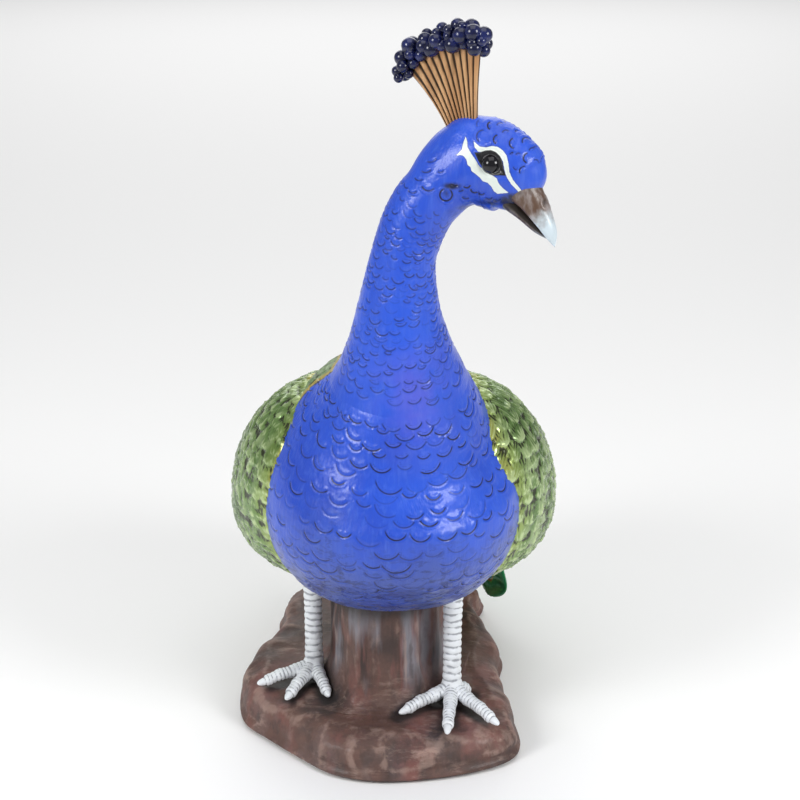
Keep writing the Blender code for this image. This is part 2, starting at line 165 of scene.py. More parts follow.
class Skin:
    # a closed form as a grid: rings of points from one pole to the other, with columns around
    # downward is 1 where later rings lie lower, and -1 where they lie higher
    def __init__(self, places, shares, angles, downward=-1):
        self.places, self.shares, self.angles = places, shares, angles
        self.rings, self.columns = places.shape[:2]
        self.downward = downward
        around = np.roll(places, -1, axis=1) - np.roll(places, 1, axis=1)
        normals = unitRows(np.cross(around, np.gradient(places, axis=0)))
        if np.sum(normals * (places - places.mean(axis=1, keepdims=True))) < 0:
            normals = -normals
        for pole, beside in ((0, 1), (-1, -2)):
            if np.ptp(places[pole], axis=0).max() < skinLimits["merge"]:
                normals[pole] = unitRows(normals[beside].mean(axis=0))
        self.normals = normals
        self.lift = np.zeros(places.shape[:2])
        self.fields = {}

    def patch(self, ring, column, reach, turn=0.0):
        # the points near one of them, with how far across and how far down they lie, in mm
        here = self.places[ring, column]
        beside = self.places[ring, (column + 1) % self.columns] - self.places[ring, column - 1]
        over = self.places[min(ring + 1, self.rings - 1), column] - self.places[max(ring - 1, 0), column]
        right = unitRows(beside)
        down = np.cross(self.normals[ring, column], right)
        if np.dot(down, over) * self.downward < 0:
            down = -down
        wide = int(reach * 2e-3 / max(np.linalg.norm(beside), 1e-5)) + 3
        tall = int(reach * 2e-3 / max(np.linalg.norm(over), 1e-5)) + 3
        wide = min(wide, self.columns // 2 - 1)
        rows = np.arange(max(ring - tall, 0), min(ring + tall + 1, self.rings))
        columns = np.arange(column - wide, column + wide + 1) % self.columns
        window = np.ix_(rows, columns)
        away = (self.places[window] - here) * 1000
        u, v = away @ right, away @ down
        c, s = math.cos(turn), math.sin(turn)
        flat = np.abs(away @ self.normals[ring, column]) < reach
        return window, u * c + v * s, v * c - u * s, flat

    def finished(self):
        final = self.places + self.normals * self.lift[..., None] / 1000
        parts = [final]
        fields = {title: [field] for title, field in self.fields.items()}
        for end, beside in ((0, 1), (-1, -2)):
            if np.ptp(self.places[end], axis=0).max() < skinLimits["merge"]:
                final[end] = final[end].mean(axis=0)
                continue
            # an open end is closed by a flat cap, with a ring just inside the edge to keep it crisp
            rim, inset = final[end] + 0, skinLimits["capInset"]
            middle = rim.mean(axis=0, keepdims=True)
            inward = final[beside] - rim
            cap = (middle + 0 * rim, middle + (rim - middle) * (1 - inset), rim, rim + inward * inset)
            final[end] = rim + inward * skinLimits["capEdge"]
            cap = [ring[None] for ring in cap]
            parts = cap + parts if end == 0 else parts + cap[::-1]
            for title, held in fields.items():
                extra = [self.fields[title][end][None]] * 4
                fields[title] = extra + held if end == 0 else held + extra
        return np.concatenate(parts), {title: np.concatenate(held) for title, held in fields.items()}

    def build(self, name, paint, slot):
        finishMesh(name, skinMesh(name, [self]), paint)


def readVectors(held, title):
    flat = np.empty(len(held) * 3)
    held.foreach_get(title, flat)
    return flat.reshape(-1, 3)


def addValues(mesh, title, values):
    held = mesh.attributes.new(title, "FLOAT", "POINT")
    held.data.foreach_set("value", np.asarray(values, float))


def newMesh(name, form):
    mesh = bpy.data.meshes.new(name)
    form.to_mesh(mesh)
    form.free()
    return mesh


def skinMesh(name, skins):
    # skins of the same rings and columns as one mesh, each on its own grid
    finished = [skin.finished() for skin in skins]
    rings, columns = finished[0][0].shape[0], skins[0].columns
    grid = bmesh.new()
    bmesh.ops.create_grid(grid, x_segments=columns, y_segments=rings - 1, size=1)
    single = newMesh("grid", grid)
    flat = readVectors(single.vertices, "co")
    form = bmesh.new()
    for _ in skins:
        form.from_mesh(single)
    bpy.data.meshes.remove(single)
    mesh = newMesh(name, form)
    column = np.rint((flat[:, 0] + 1) / 2 * columns).astype(int) % columns
    ring = np.rint((flat[:, 1] + 1) / 2 * (rings - 1)).astype(int)
    mesh.vertices.foreach_set("co", np.concatenate([final[ring, column] for final, _ in finished]).ravel())
    for title in finished[0][1]:
        addValues(mesh, title, np.concatenate([fields[title][ring, column] for _, fields in finished]))
    return mesh


def closeForm(mesh, distance):
    # merges the seam and the poles, and turns the faces outwards
    form = bmesh.new()
    form.from_mesh(mesh)
    bmesh.ops.remove_doubles(form, verts=form.verts, dist=distance)
    if form.calc_volume(signed=True) < 0:
        bmesh.ops.reverse_faces(form, faces=form.faces)
    form.to_mesh(mesh)
    form.free()


def finishMesh(name, mesh, paint, node="peacock_statue"):
    closeForm(mesh, skinLimits["merge"])
    mesh.shade_smooth()
    mesh.materials.append(paint)
    piece = bpy.data.objects.new(name, mesh)
    bpy.context.scene.collection.objects.link(piece)
    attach(piece, "root")
    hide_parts(node)
    print(name, len(mesh.polygons), "faces")


class Paint:
    # a short way to write a painted finish out of a piece's own values and procedural noise
    def __init__(self, name, colour, roughness, coat=0.0, metallic=0.0, shine=0.5, coatRoughness=0.12):
        self.colour = colour
        self.material = bpy.data.materials.new(name)
        self.material.use_nodes = True
        self.nodes = self.material.node_tree.nodes
        self.shader = self.nodes["Principled BSDF"]
        for title, value in (("Roughness", roughness), ("Metallic", metallic), ("Coat Weight", coat),
                             ("Specular IOR Level", shine), ("Coat Roughness", coatRoughness)):
            self.shader.inputs[title].default_value = value
        self.place = self.nodes.new("ShaderNodeTexCoord").outputs["Object"]

    def join(self, value, socket):
        if isinstance(value, bpy.types.NodeSocket):
            self.material.node_tree.links.new(value, socket)
        elif isinstance(value, (tuple, list)):
            socket.default_value = (*value, 1) if len(socket.default_value) == 4 else value
        else:
            socket.default_value = value

    def read(self, title):
        node = self.nodes.new("ShaderNodeAttribute")
        node.attribute_name = title
        return node.outputs["Fac"]

    def noise(self, scale, stretch=(1, 1, 1), detail=3, roughness=0.55):
        spread = self.nodes.new("ShaderNodeMapping")
        spread.inputs["Scale"].default_value = stretch
        self.join(self.place, spread.inputs["Vector"])
        node = self.nodes.new("ShaderNodeTexNoise")
        node.inputs["Scale"].default_value = scale
        node.inputs["Detail"].default_value = detail
        node.inputs["Roughness"].default_value = roughness
        self.join(spread.outputs[0], node.inputs["Vector"])
        return node.outputs["Fac"]

    def height(self):
        node = self.nodes.new("ShaderNodeSeparateXYZ")
        self.join(self.place, node.inputs[0])
        return node.outputs["Z"]

    def ramp(self, value, low, high, out=(0.0, 1.0)):
        node = self.nodes.new("ShaderNodeMapRange")
        node.interpolation_type = "SMOOTHSTEP"
        self.join(value, node.inputs["Value"])
        for title, held in zip(("From Min", "From Max", "To Min", "To Max"), (low, high, *out)):
            node.inputs[title].default_value = held
        return node.outputs["Result"]

    def combine(self, kind, first, second=0.0):
        node = self.nodes.new("ShaderNodeMath")
        node.operation = kind
        self.join(first, node.inputs[0])
        self.join(second, node.inputs[1])
        return node.outputs[0]

    def times(self, first, second):
        return self.combine("MULTIPLY", first, second)

    def mix(self, share, first, second):
        node = self.nodes.new("ShaderNodeMix")
        node.data_type = "RGBA"
        self.join(share, node.inputs["Factor"])
        self.join(first, node.inputs[6])
        self.join(second, node.inputs[7])
        return node.outputs[2]

    def ragged(self, value, scale, depth, stretch=(1, 1, 1), detail=3, reach=(0.2, 0.8)):
        # a value whose edges wander by up to depth either way
        wander = self.ramp(self.noise(scale, stretch, detail), *reach, (-depth, depth))
        return self.combine("ADD", value, wander)

    def lay(self, share, tone):
        # one more coat over the colour so far
        self.colour = self.mix(share, self.colour, tone)

    def layFrom(self, value, low, high, tone, most=1.0):
        self.lay(self.ramp(value, low, high, (0.0, most)), tone)

    def finish(self, grain=None, depth=0.0003, strength=0.5, roughness=None):
        self.join(self.colour, self.shader.inputs["Base Color"])
        if roughness is not None:
            self.join(roughness, self.shader.inputs["Roughness"])
        if grain is not None:
            bump = self.nodes.new("ShaderNodeBump")
            bump.inputs["Strength"].default_value = strength
            bump.inputs["Distance"].default_value = depth
            self.join(grain, bump.inputs["Height"])
            self.join(bump.outputs[0], self.shader.inputs["Normal"])
        return self.material


# camera, floor and lights

def aimed(place, aim):
    return (Vector(aim) - Vector(place)).to_track_quat("-Z", "Y").to_euler()


def makeStudio():
    scene = bpy.context.scene
    scene.view_settings.view_transform = "Standard"
    lens = bpy.data.cameras.new("camera")
    lens.lens = studio["lens"]
    lens.sensor_width = studio["sensor"]
    camera = bpy.data.objects.new("camera", lens)
    camera.location = studio["cameraPlace"]
    camera.rotation_euler = aimed(studio["cameraPlace"], studio["cameraAim"])
    scene.collection.objects.link(camera)
    scene.camera = camera
    world = bpy.data.worlds.new("studioWorld")
    world.use_nodes = True
    sky = world.node_tree.nodes["Background"]
    sky.inputs["Color"].default_value = (1, 1, 1, 1)
    sky.inputs["Strength"].default_value = studio["worldLight"]
    scene.world = world
    for name, place, size, power in studio["lights"]:
        lamp = bpy.data.lights.new(name, "AREA")
        lamp.size = size
        lamp.energy = power
        held = bpy.data.objects.new(name, lamp)
        held.location = place
        held.rotation_euler = aimed(place, studio["lightAim"])
        scene.collection.objects.link(held)
    shape = bmesh.new()
    bmesh.ops.create_grid(shape, x_segments=2, y_segments=2, size=studio["floorReach"])
    mesh = newMesh("floor", shape)
    mesh.materials.append(Paint("floorWhite", studio["floorWhite"], 0.9).finish())
    floor = bpy.data.objects.new("floor", mesh)
    scene.collection.objects.link(floor)
    print("studio is set")


def picturePlaces(points):
    # where the camera sees the points, in pixels of the picture
    forward = unitRows(np.subtract(studio["cameraAim"], studio["cameraPlace"]))
    right = np.array((1.0, 0.0, 0.0))
    away = points - np.array(studio["cameraPlace"])
    focal = studio["lens"] / studio["sensor"] * studio["pictureWidth"]
    depth = away @ forward
    middle = studio["pictureWidth"] / 2
    return np.stack((middle + focal * (away @ right) / depth,
                     middle - focal * (away @ np.cross(right, forward)) / depth), axis=-1)


def towardsCamera(points):
    return unitRows(np.array(studio["cameraPlace"]) - points)


# blue plumage: breast and belly below the join, neck and head above it

plumage = {
    "join": 9 / 23, "breastRings": (60, 200), "neckRings": (150, 170),
    "breastColumns": (60, 150, 150), "breastEdges": (0.10, 0.40, 0.75, 1.10),
    "neckColumns": 250, "joinFade": 0.004,
    # lumps in the resin: height in mm, size in m, seed
    "breastLumps": ((0.55, 0.045, 3), (0.18, 0.012, 4)), "neckLumps": ((0.45, 0.035, 3), (0.15, 0.010, 4)),
    "fields": {"stroke": 4, "ink": 0, "violet": 0, "upperStripe": 6, "lowerStripe": 6, "lid": 6, "paintedShade": 0,
               "shoulder": 6},
    "violetMiddle": 0.012, "violetWidth": 0.030, "violetMost": 0.42,
    "shoulderHeights": (410, 496), "shoulderInnerX": -0.020,
    # how wide a stroke is in mm at each height of the table
    "strokeWidths": ((150, 14.0), (230, 17.0), (300, 20.0), (420, 18.5), (470, 16.0), (560, 12.0), (660, 9.5),
                     (760, 8.5), (830, 8.0)),
    "strokeSizes": (0.7, 0.88, 0.95, 1.0, 1.08, 1.2),
    "strokeStrengths": (0.25, 0.5, 0.7, 0.85, 1.0, 1.0, 1.1), "strokeSpans": (58, 84), "strokeTurn": 9,
    "neckRelief": 0.58, "neckInk": 0.70, "throatRelief": 0.15,
    "grooveDepth": 0.85, "lipHeight": 0.42, "padHeight": 0.48, "bellyHeights": (0.250, 0.135),
    "blue": (0.025, 0.104, 0.70), "deepBlue": (0.013, 0.060, 0.50), "paleBlue": (0.085, 0.190, 0.70),
    "bellyBlue": (0.064, 0.098, 0.31), "violet": (0.15, 0.125, 0.60), "green": (0.130, 0.240, 0.060),
    "darkGreen": (0.035, 0.070, 0.014), "gold": (0.36, 0.28, 0.04), "line": (0.010, 0.014, 0.055),
    "white": (0.73, 0.79, 0.74), "lidBlack": (0.003, 0.003, 0.005),
    "rows": (
        (-10, -51, 147, 0, 0, 0, 0),
        (-10, -48, 157, 77, 85, 68, 0),
        (-10, -41, 183, 126, 154, 116, 0),
        (-10, -34, 222, 159, 214, 154, 0),
        (-10, -31, 268, 178, 253, 179, 0),
        (-10, -31, 320, 183, 265, 188, 0),
        (-10, -34, 371, 173, 244, 181, 0),
        (-7, -44, 421, 149, 197, 159, 0),
        (-2, -58, 468, 120, 140, 126, 0),
        (0, -70, 515, 94, 96, 97, 0),
        (-1, -79, 561, 74, 72, 77, 2),
        (-2, -85, 609, 59, 58, 62, 6),
        (0, -89, 656, 49, 50, 51, 12),
        (5, -91, 697, 43, 44, 45, 20),
        (16, -91, 732, 43, 45, 42, 28),
        (31, -91, 762, 43, 45, 42, 38),
        (46, -92, 782, 43, 45, 43, 44),
        (65, -95, 804, 44, 52, 47, 50),
        (87, -99, 818, 45, 60, 52, 53),
        (117, -107, 823, 45, 62, 58, 55),
        (143, -123, 816, 42, 53, 56, 56),
        (160, -134, 804, 34, 42, 43, 56),
        (171, -142, 796, 20, 26, 24, 56),
        (176, -145, 792, 0, 0, 0, 56),
    ),
}

# The face is laid out where the picture's camera sees it, and is the same on both sides of the head.
face = {
    "shoulder": ((344, 346), (338, 360), (331, 371), (309, 387), (294, 405), (270, 410), (285, 340)),
    "start": 14 / 23, "middle": (117, -107, 823), "turn": math.radians(56), "pixelsEachMm": 1.32,
    "eyeSpot": (490.4, 163.6), "eyeHollow": (7.2, 1.6, 1.1),
    "collar": (86, -101, 868), "collarSize": (13, 3.0),
    "upperStripe": (
        (473.7, 141.5), (479.7, 146.4), (485.7, 147.3), (492.2, 146), (497.6, 146.6), (503, 150.4),
        (506.8, 156), (508.6, 163.7), (509.4, 172), (513, 180), (518.4, 186.5), (525, 194.4), (518, 191.6),
        (511.5, 184.6), (506.4, 176.9), (504.2, 168.2), (503, 161.6), (499.4, 155.4), (495, 152.2),
        (490, 151.2), (483.5, 152.6), (477.8, 151.6), (474.6, 147.5),
    ),
    "lowerStripe": (
        (465.8, 136.6), (467.4, 142), (467.6, 147.5), (470.9, 152.9), (475.2, 159.4), (479.4, 167),
        (485.9, 172.7), (492.4, 175.5), (496.9, 178.7), (499.1, 184.1), (503.2, 188.5), (508.8, 192.7),
        (497.4, 193.9), (493.9, 191.2), (490.7, 185.8), (487.4, 182.8), (482.7, 181.1), (479.3, 177.1),
        (475.5, 173.9), (471.2, 171.2), (470.6, 167), (467.4, 164.8), (466.3, 159.4), (463.6, 156),
        (460.2, 155), (455.4, 155.6), (459.1, 152.3), (461.8, 149.4), (462.7, 144.2),
    ),
    "lid": (
        (474.6, 152.6), (480, 152.4), (485.6, 150.6), (491, 150.2), (496, 152.2), (500, 156.2),
        (502.6, 162), (503.8, 168.6), (505.8, 175.6), (500, 175.2), (494, 175.6), (488.5, 174),
        (483.6, 170), (479.6, 163.6), (477, 157.4),
    ),
    # curls and cheek marks: x, y, radius, the way it points (0 is down, 90 right), half span, strength
    "marks": (
        (491.5, 125.5, 4, 265, 80, 0.9), (501, 127, 4.5, 200, 60, 0.5), (498, 139.5, 4.6, 262, 85, 1),
        (514.5, 143, 5, 275, 90, 1), (483, 136.5, 6.5, 250, 85, 0.6), (488, 139, 7.5, 20, 50, 0.5),
        (506, 134, 4, 190, 70, 0.6), (528.5, 158, 5, 265, 85, 0.9), (524.5, 171.5, 5, 235, 70, 0.8),
        (512.5, 155, 2.6, 200, 80, 0.7), (518.5, 155.5, 2.6, 200, 80, 0.6), (526, 141, 3.6, 230, 80, 0.7),
        (533, 151, 3.6, 200, 70, 0.6), (509, 123, 3.6, 210, 75, 0.5), (519, 131, 3.4, 215, 80, 0.6),
        (536, 163, 3.4, 150, 70, 0.5), (481, 125, 4.2, 250, 60, 0.4), (517, 166, 4, 330, 60, 0.5),
        (446, 195, 6.2, 350, 170, 1), (428.5, 184, 7, 350, 70, 0.9), (430, 155, 7, 20, 50, 0.6),
        (425.5, 166, 6.5, 10, 55, 0.6), (412.5, 188, 5, 350, 70, 0.6), (466.5, 184, 4, 10, 70, 0.8),
        (460, 187.5, 4, 30, 60, 0.7), (474.5, 189, 4, 330, 80, 0.8), (481.5, 191.5, 3.4, 350, 80, 0.7),
        (466, 195, 4.2, 350, 60, 0.7), (455, 182.5, 3.6, 350, 60, 0.9), (489, 196, 3.6, 0, 70, 0.6),
        (497, 198, 3.4, 10, 70, 0.6), (440, 168.5, 4, 10, 60, 0.5), (419, 175.5, 5, 350, 60, 0.6),
    ),
    # painted shade under the jaw and at the corner of the mouth: x, y, width, height, strength
    "paintedShadeSpots": (
        (513, 202, 12, 9, 1.0), (507, 201, 10, 6, 0.9), (452, 186, 10, 4, 0.75), (446, 193, 5, 6, 0.5),
        (494, 202, 26, 5, 0.55), (474, 208, 22, 4, 0.5), (511, 199, 6, 4, 0.8), (452, 214, 10, 8, 0.30),
        (508, 173, 5, 6, 0.35),
    ),
}


def addStroke(skin, ring, column, radius, span, strength, turn):
    # one U-shaped groove, its light lip below it and the soft swell of the feather above it
    window, u, v, flat = skin.patch(ring, column, radius + 5, turn)
    away = np.hypot(u, v) - radius
    way = np.abs(np.arctan2(u, v))
    markStroke(skin, window, away, way, span, strength * flat)


def markStroke(skin, window, away, way, span, strength):
    taper = (1 - smoothStep(0.72 * span, span, way)) * strength
    groove = -plumage["grooveDepth"] * bell(away, 0.72)
    lip = plumage["lipHeight"] * bell(away - 1.7, 0.9)
    pad = plumage["padHeight"] * bell(away + 2.6, 1.9)
    skin.lift[window] += taper * (groove + lip + pad)
    weight = taper * (1 - smoothStep(1.8, 3.0, np.abs(away)))
    better = weight > skin.fields["ink"][window]
    for title, value in (("ink", weight), ("stroke", np.clip(away, -4, 4))):
        skin.fields[title][window] = np.where(better, value, skin.fields[title][window])


def addStrokes(skin, seed, first, last, front):
    # rows of strokes from the skin's upper end down, seen from the column at its front
    picker = random.Random(seed)
    track = lengthsAlong(skin.places[:, front])
    place, shift = track[-1] - last, 0.0
    while place > first:
        ring = min(max(int(np.searchsorted(track, place)), 1), skin.rings - 2)
        width = float(np.interp(tableHeight(skin.places[ring, front]), *zip(*plumage["strokeWidths"])))
        around = lengthsAlong(skin.places[ring], closed=True)
        spot = width * shift
        while spot < around[-1] - 0.4 * width:
            column = int(np.searchsorted(around, spot)) % skin.columns
            shake = picker.uniform(-0.14, 0.14) * width
            near = min(max(int(np.searchsorted(track, place + shake)), 2), skin.rings - 3)
            size = width * picker.choice(plumage["strokeSizes"])
            strength = picker.choice(plumage["strokeStrengths"])
            reach = track[near] - 0.52 * size
            if picker.random() > 0.07 and reach > first - 4:
                span = math.radians(picker.uniform(*plumage["strokeSpans"]))
                turn = math.radians(picker.gauss(0, plumage["strokeTurn"]))
                addStroke(skin, near, column, size * 0.52, span, strength, turn)
            spot += width * picker.uniform(0.94, 1.12)
        shift = 0.55 - shift + picker.uniform(-0.1, 0.1)
        place -= width * 0.57
    print("strokes laid on", skin.rings, "rings")


def distanceInside(spots, outline):
    # signed distance in pixels from a drawn outline: below zero inside it
    outline = np.asarray(outline, float)
    inside = np.zeros(spots.shape[:-1], bool)
    nearest = np.full(spots.shape[:-1], 1e9)
    for a, b in zip(outline, np.roll(outline, -1, axis=0)):
        edge = b - a
        share = np.clip(((spots - a) @ edge) / (edge @ edge), 0, 1)
        nearest = np.minimum(nearest, np.linalg.norm(spots - a - share[..., None] * edge, axis=-1))
        crosses = (a[1] > spots[..., 1]) != (b[1] > spots[..., 1])
        with np.errstate(divide="ignore", invalid="ignore"):
            across = (b[0] - a[0]) * (spots[..., 1] - a[1]) / (b[1] - a[1]) + a[0]
        inside ^= crosses & (spots[..., 0] < across)
    return np.where(inside, -nearest, nearest)


def faceSpots(points, normals):
    # each point's place in the picture, with the head's far side mirrored to the near one
    middle = posePoints(face["middle"])
    across = np.array((math.cos(face["turn"]), math.sin(face["turn"]), 0.0))
    off = (points - middle) @ across
    flip = np.maximum(off, 0.0)[..., None] * across * 2
    tilt = (normals @ across)[..., None]
    normals = np.where(off[..., None] > 0, normals - 2 * tilt * across, normals)
    near = points - flip
    return picturePlaces(near), np.sum(normals * towardsCamera(near), axis=-1)


def addFace(skin):
    spots, facing = faceSpots(skin.places, skin.normals)
    scale = face["pixelsEachMm"]
    start = int(np.searchsorted(skin.shares, face["start"]))
    window = np.ix_(np.arange(start, skin.rings), np.arange(skin.columns))
    spots, seen = spots[window], smoothStep(0.05, 0.25, facing)[window]
    for x, y, radius, points, half, strength in face["marks"]:
        u, v = spots[..., 0] - x, spots[..., 1] - y
        way = np.arctan2(u, v) - math.radians(points)
        way = np.abs((way + math.pi) % fullTurn - math.pi)
        away = (np.hypot(u, v) - radius) / scale
        markStroke(skin, window, away, way, math.radians(half), 1.3 * strength * seen)
    for title in ("upperStripe", "lowerStripe", "lid"):
        away = np.where(seen > 0.02, distanceInside(spots, face[title]) / scale, 6.0)
        skin.fields[title][window] = np.clip(away, -6, 6)
        lift = skin.lift[window]
        if title == "lid":
            rim = bell(away + 0.6, 1.0) - 0.9 * bell(away - 1.2, 0.9)
            skin.lift[window] = np.where(np.abs(away) < 4, lift * 0.4 + 0.75 * rim, lift)
        else:
            skin.fields["ink"][window] *= smoothStep(0.0, 1.0, away)
            skin.lift[window] = np.where(away < 0.6, lift * 0.3, lift)
    # the low collar of plumage that the crest stands in
    wide, high = face["collarSize"]
    near = np.linalg.norm(skin.places[window] - posePoints(face["collar"]), axis=-1) * 1000
    skin.lift[window] += high * bell(near, wide, 4)
    # a hollow round the eye
    radius, width, depth = face["eyeHollow"]
    fromEye = np.linalg.norm(spots - face["eyeSpot"], axis=-1) / scale
    skin.lift[window] -= depth * bell(fromEye - radius, width) * seen
    # painted shade under the jaw and at the corner of the mouth
    for x, y, wide, tall, amount in face["paintedShadeSpots"]:
        soft = bell(np.hypot((spots[..., 0] - x) / wide, (spots[..., 1] - y) / tall), 1) * amount
        skin.fields["paintedShade"][window] = np.maximum(skin.fields["paintedShade"][window], soft)
    print("face is painted")


def bluePaint():
    paint = Paint("bluePlumagePaint", plumage["blue"], 0.36, coat=0.25, shine=0.38)
    line = plumage["line"]
    paint.layFrom(paint.noise(9, (1, 1, 0.8)), 0.30, 0.72, plumage["deepBlue"])
    paint.layFrom(paint.noise(260, (1, 1, 0.10)), 0.45, 0.80, plumage["paleBlue"], 0.30)
    low = paint.ramp(paint.ragged(paint.height(), 14, 0.03), *plumage["bellyHeights"], (0.0, 0.95))
    paint.lay(low, plumage["bellyBlue"])
    scratches = paint.ramp(paint.noise(140, (0.7, 0.7, 1.5), 4, 0.65), 0.51, 0.61, (0.0, 0.85))
    paint.lay(paint.times(scratches, low), line)
    paint.lay(paint.times(paint.read("violet"), paint.ramp(paint.noise(30), 0.3, 0.6)), plumage["violet"])
    stroke, ink = paint.read("stroke"), paint.read("ink")
    beside = paint.combine("ABSOLUTE", paint.combine("SUBTRACT", stroke, 0.3))
    shade = paint.ramp(beside, 0.4, 2.4, (0.34, 0.0))
    paint.lay(paint.times(shade, ink), plumage["deepBlue"])
    drawn = paint.ramp(paint.combine("ABSOLUTE", stroke), 0.30, 0.82, (0.94, 0.0))
    worn = paint.ramp(paint.noise(120), 0.25, 0.55, (0.55, 1.0))
    paint.lay(paint.times(paint.times(drawn, ink), worn), line)
    # painted shade under the jaw and at the corner of the mouth, in the dark line colour
    paintedShade = paint.times(paint.read("paintedShade"), paint.ramp(paint.noise(160), 0.2, 0.65, (0.55, 1.0)))
    paint.layFrom(paintedShade, 0.10, 0.62, line)
    for title in ("upperStripe", "lowerStripe"):
        edge = paint.ragged(paint.read(title), 500, 0.15)
        paint.layFrom(edge, 0.65, 0.15, line, 0.45)
        paint.layFrom(edge, 0.15, -0.25, plumage["white"])
    paint.layFrom(paint.read("lid"), 0.35, -0.15, plumage["lidBlack"])
    shoulder = paint.ragged(paint.read("shoulder"), 150, 0.5)
    speckle = paint.ramp(paint.noise(150, (1, 1, 0.5)), 0.46, 0.62)
    paint.layFrom(shoulder, 1.6, 1.1, line)
    paint.layFrom(shoulder, 1.0, 0.6, plumage["gold"])
    paint.layFrom(shoulder, -0.3, -1.1, paint.mix(speckle, plumage["green"], plumage["darkGreen"]))
    grain = paint.combine("ADD", paint.noise(420, (1, 1, 0.12)), paint.times(paint.noise(60), 1.6))
    return paint.finish(grain, 0.0009, 0.50, paint.ramp(paint.noise(35), 0.3, 0.7, (0.28, 0.44)))


def newPlumage(shares, angles, lumps):
    skin = Skin(sweptPlaces(plumage["rows"], shares, angles), shares, angles)
    for title, value in plumage["fields"].items():
        skin.fields[title] = np.full(skin.places.shape[:2], float(value))
    for amount, size, seed in lumps:
        skin.lift += amount * cloud(skin.places, size, seed)
    return skin


def violetShare(skin, upright):
    # a violet tinge down the middle of the front
    middle = bell(skin.places[..., 0] - plumage["violetMiddle"], plumage["violetWidth"])
    return upright * middle * plumage["violetMost"] * (skin.normals[..., 1] < 0)


def shoulderDistance(skin):
    # how far outside the wing's painted shoulder each point is, in mm
    away = distanceInside(picturePlaces(skin.places), face["shoulder"]) / face["pixelsEachMm"]
    # behind the edge that the camera sees, the paint goes on to the mantle
    turnedAway = 30 * np.sum(skin.normals * towardsCamera(skin.places), axis=-1)
    low, high = plumage["shoulderHeights"]
    tail = tableHeight(skin.places)
    behind = np.maximum(turnedAway, 0.6 * np.maximum(tail - high, low - tail))
    behind = np.maximum(behind, 1000 * (skin.places[..., 0] - plumage["shoulderInnerX"]))
    return np.clip(np.minimum(away, behind), -6, 6)


def makePlumage():
    paint = bluePaint()
    join, fade = plumage["join"], plumage["joinFade"]
    shares = np.concatenate((shareOut(plumage["breastRings"], (0, 0.06, join)), (join,)))
    angles = np.sort(shareOut(plumage["breastColumns"], plumage["breastEdges"]) * fullTurn % fullTurn)
    skin = newPlumage(shares, angles, plumage["breastLumps"])
    front = int(np.argmin(np.abs(angles - 1.5 * math.pi)))
    addStrokes(skin, 11, 22, 1, front)
    skin.lift *= 1 - smoothStep(join - fade, join, shares)[:, None]
    skin.fields["violet"] = violetShare(skin, smoothStep(400, 520, tableHeight(skin.places)))
    skin.fields["shoulder"] = shoulderDistance(skin)
    skin.build("breastPlumage", paint, "painted_resin")
    shares = np.concatenate((shareOut(plumage["neckRings"], (join, 0.66, 1)), (1.0,)))
    angles = evenAngles(plumage["neckColumns"])
    skin = newPlumage(shares, angles, plumage["neckLumps"])
    addStrokes(skin, 23, 8, 84, plumage["neckColumns"] * 3 // 4)
    skin.lift *= plumage["neckRelief"]
    skin.fields["ink"] *= plumage["neckInk"]
    # the throat's tight curve stays smooth
    under = np.sin(angles)[None, :] < -0.1
    tight = smoothStep(0.60, 0.68, shares) * (1 - smoothStep(0.80, 0.88, shares))
    skin.lift *= 1 - (1 - plumage["throatRelief"]) * tight[:, None] * under
    addFace(skin)
    skin.lift *= smoothStep(join, join + fade, shares)[:, None]
    skin.fields["violet"] = violetShare(skin, 1 - smoothStep(540, 610, tableHeight(skin.places)))
    skin.build("neckPlumage", paint, "painted_resin")


# feathers in relief, for the wings, the mantle and the train

def addFeather(skin, ring, column, wide, long, thick, turn, barbs):
    # one rounded feather whose tip stands proud of the feathers below it
    window, u, v, flat = skin.patch(ring, column, max(wide, long) * 0.62, turn)
    a, b = wide / 2, long / 2
    inside = 1 - ((np.abs(u) / a) ** 2.4 + (np.abs(v) / b) ** 2.4) ** (1 / 2.4)
    inside = inside * min(a, b)
    rise = np.clip((v + b) / long, 0, 1)
    depth, wave = barbs
    ribs = depth * np.cos(fullTurn * (v * 0.45 + np.abs(u) * 0.95) / wave) * smoothStep(0.4, 2.0, inside)
    shaft = depth * 1.4 * bell(u, 0.7) * smoothStep(0.5, 2.5, inside)
    height = thick * (0.15 + 0.85 * rise) * smoothStep(-0.3, 1.6, inside) + ribs + shaft
    height = np.where(flat & (inside > -0.3), height, -9.0)
    higher = height > skin.lift[window]
    skin.lift[window] = np.where(higher, height, skin.lift[window])
    return window, higher, u, v


def featherSpots(skin, seed, column, feather, clear, shake=0.15):
    # staggered spots in rows over a skin, from the lowest row to the highest
    picker = random.Random(seed)
    step, gap = feather["step"], feather["gap"]
    track = lengthsAlong(skin.places[:, column])
    rows = np.arange(clear[0], track[-1] - clear[1], step)
    if skin.downward > 0:
        rows = rows[::-1]
    for number, place in enumerate(rows):
        around = lengthsAlong(skin.places[int(np.searchsorted(track, place))], closed=True)
        spot = gap * 0.5 * (number % 2) + picker.uniform(0, gap * shake)
        while spot < around[-1] - 0.3 * gap:
            near = place + picker.uniform(-shake, shake) * step
            ring = min(max(int(np.searchsorted(track, near)), 2), skin.rings - 3)
            yield ring, int(np.searchsorted(around, spot)) % skin.columns, picker
            spot += gap * picker.uniform(0.92, 1.08)


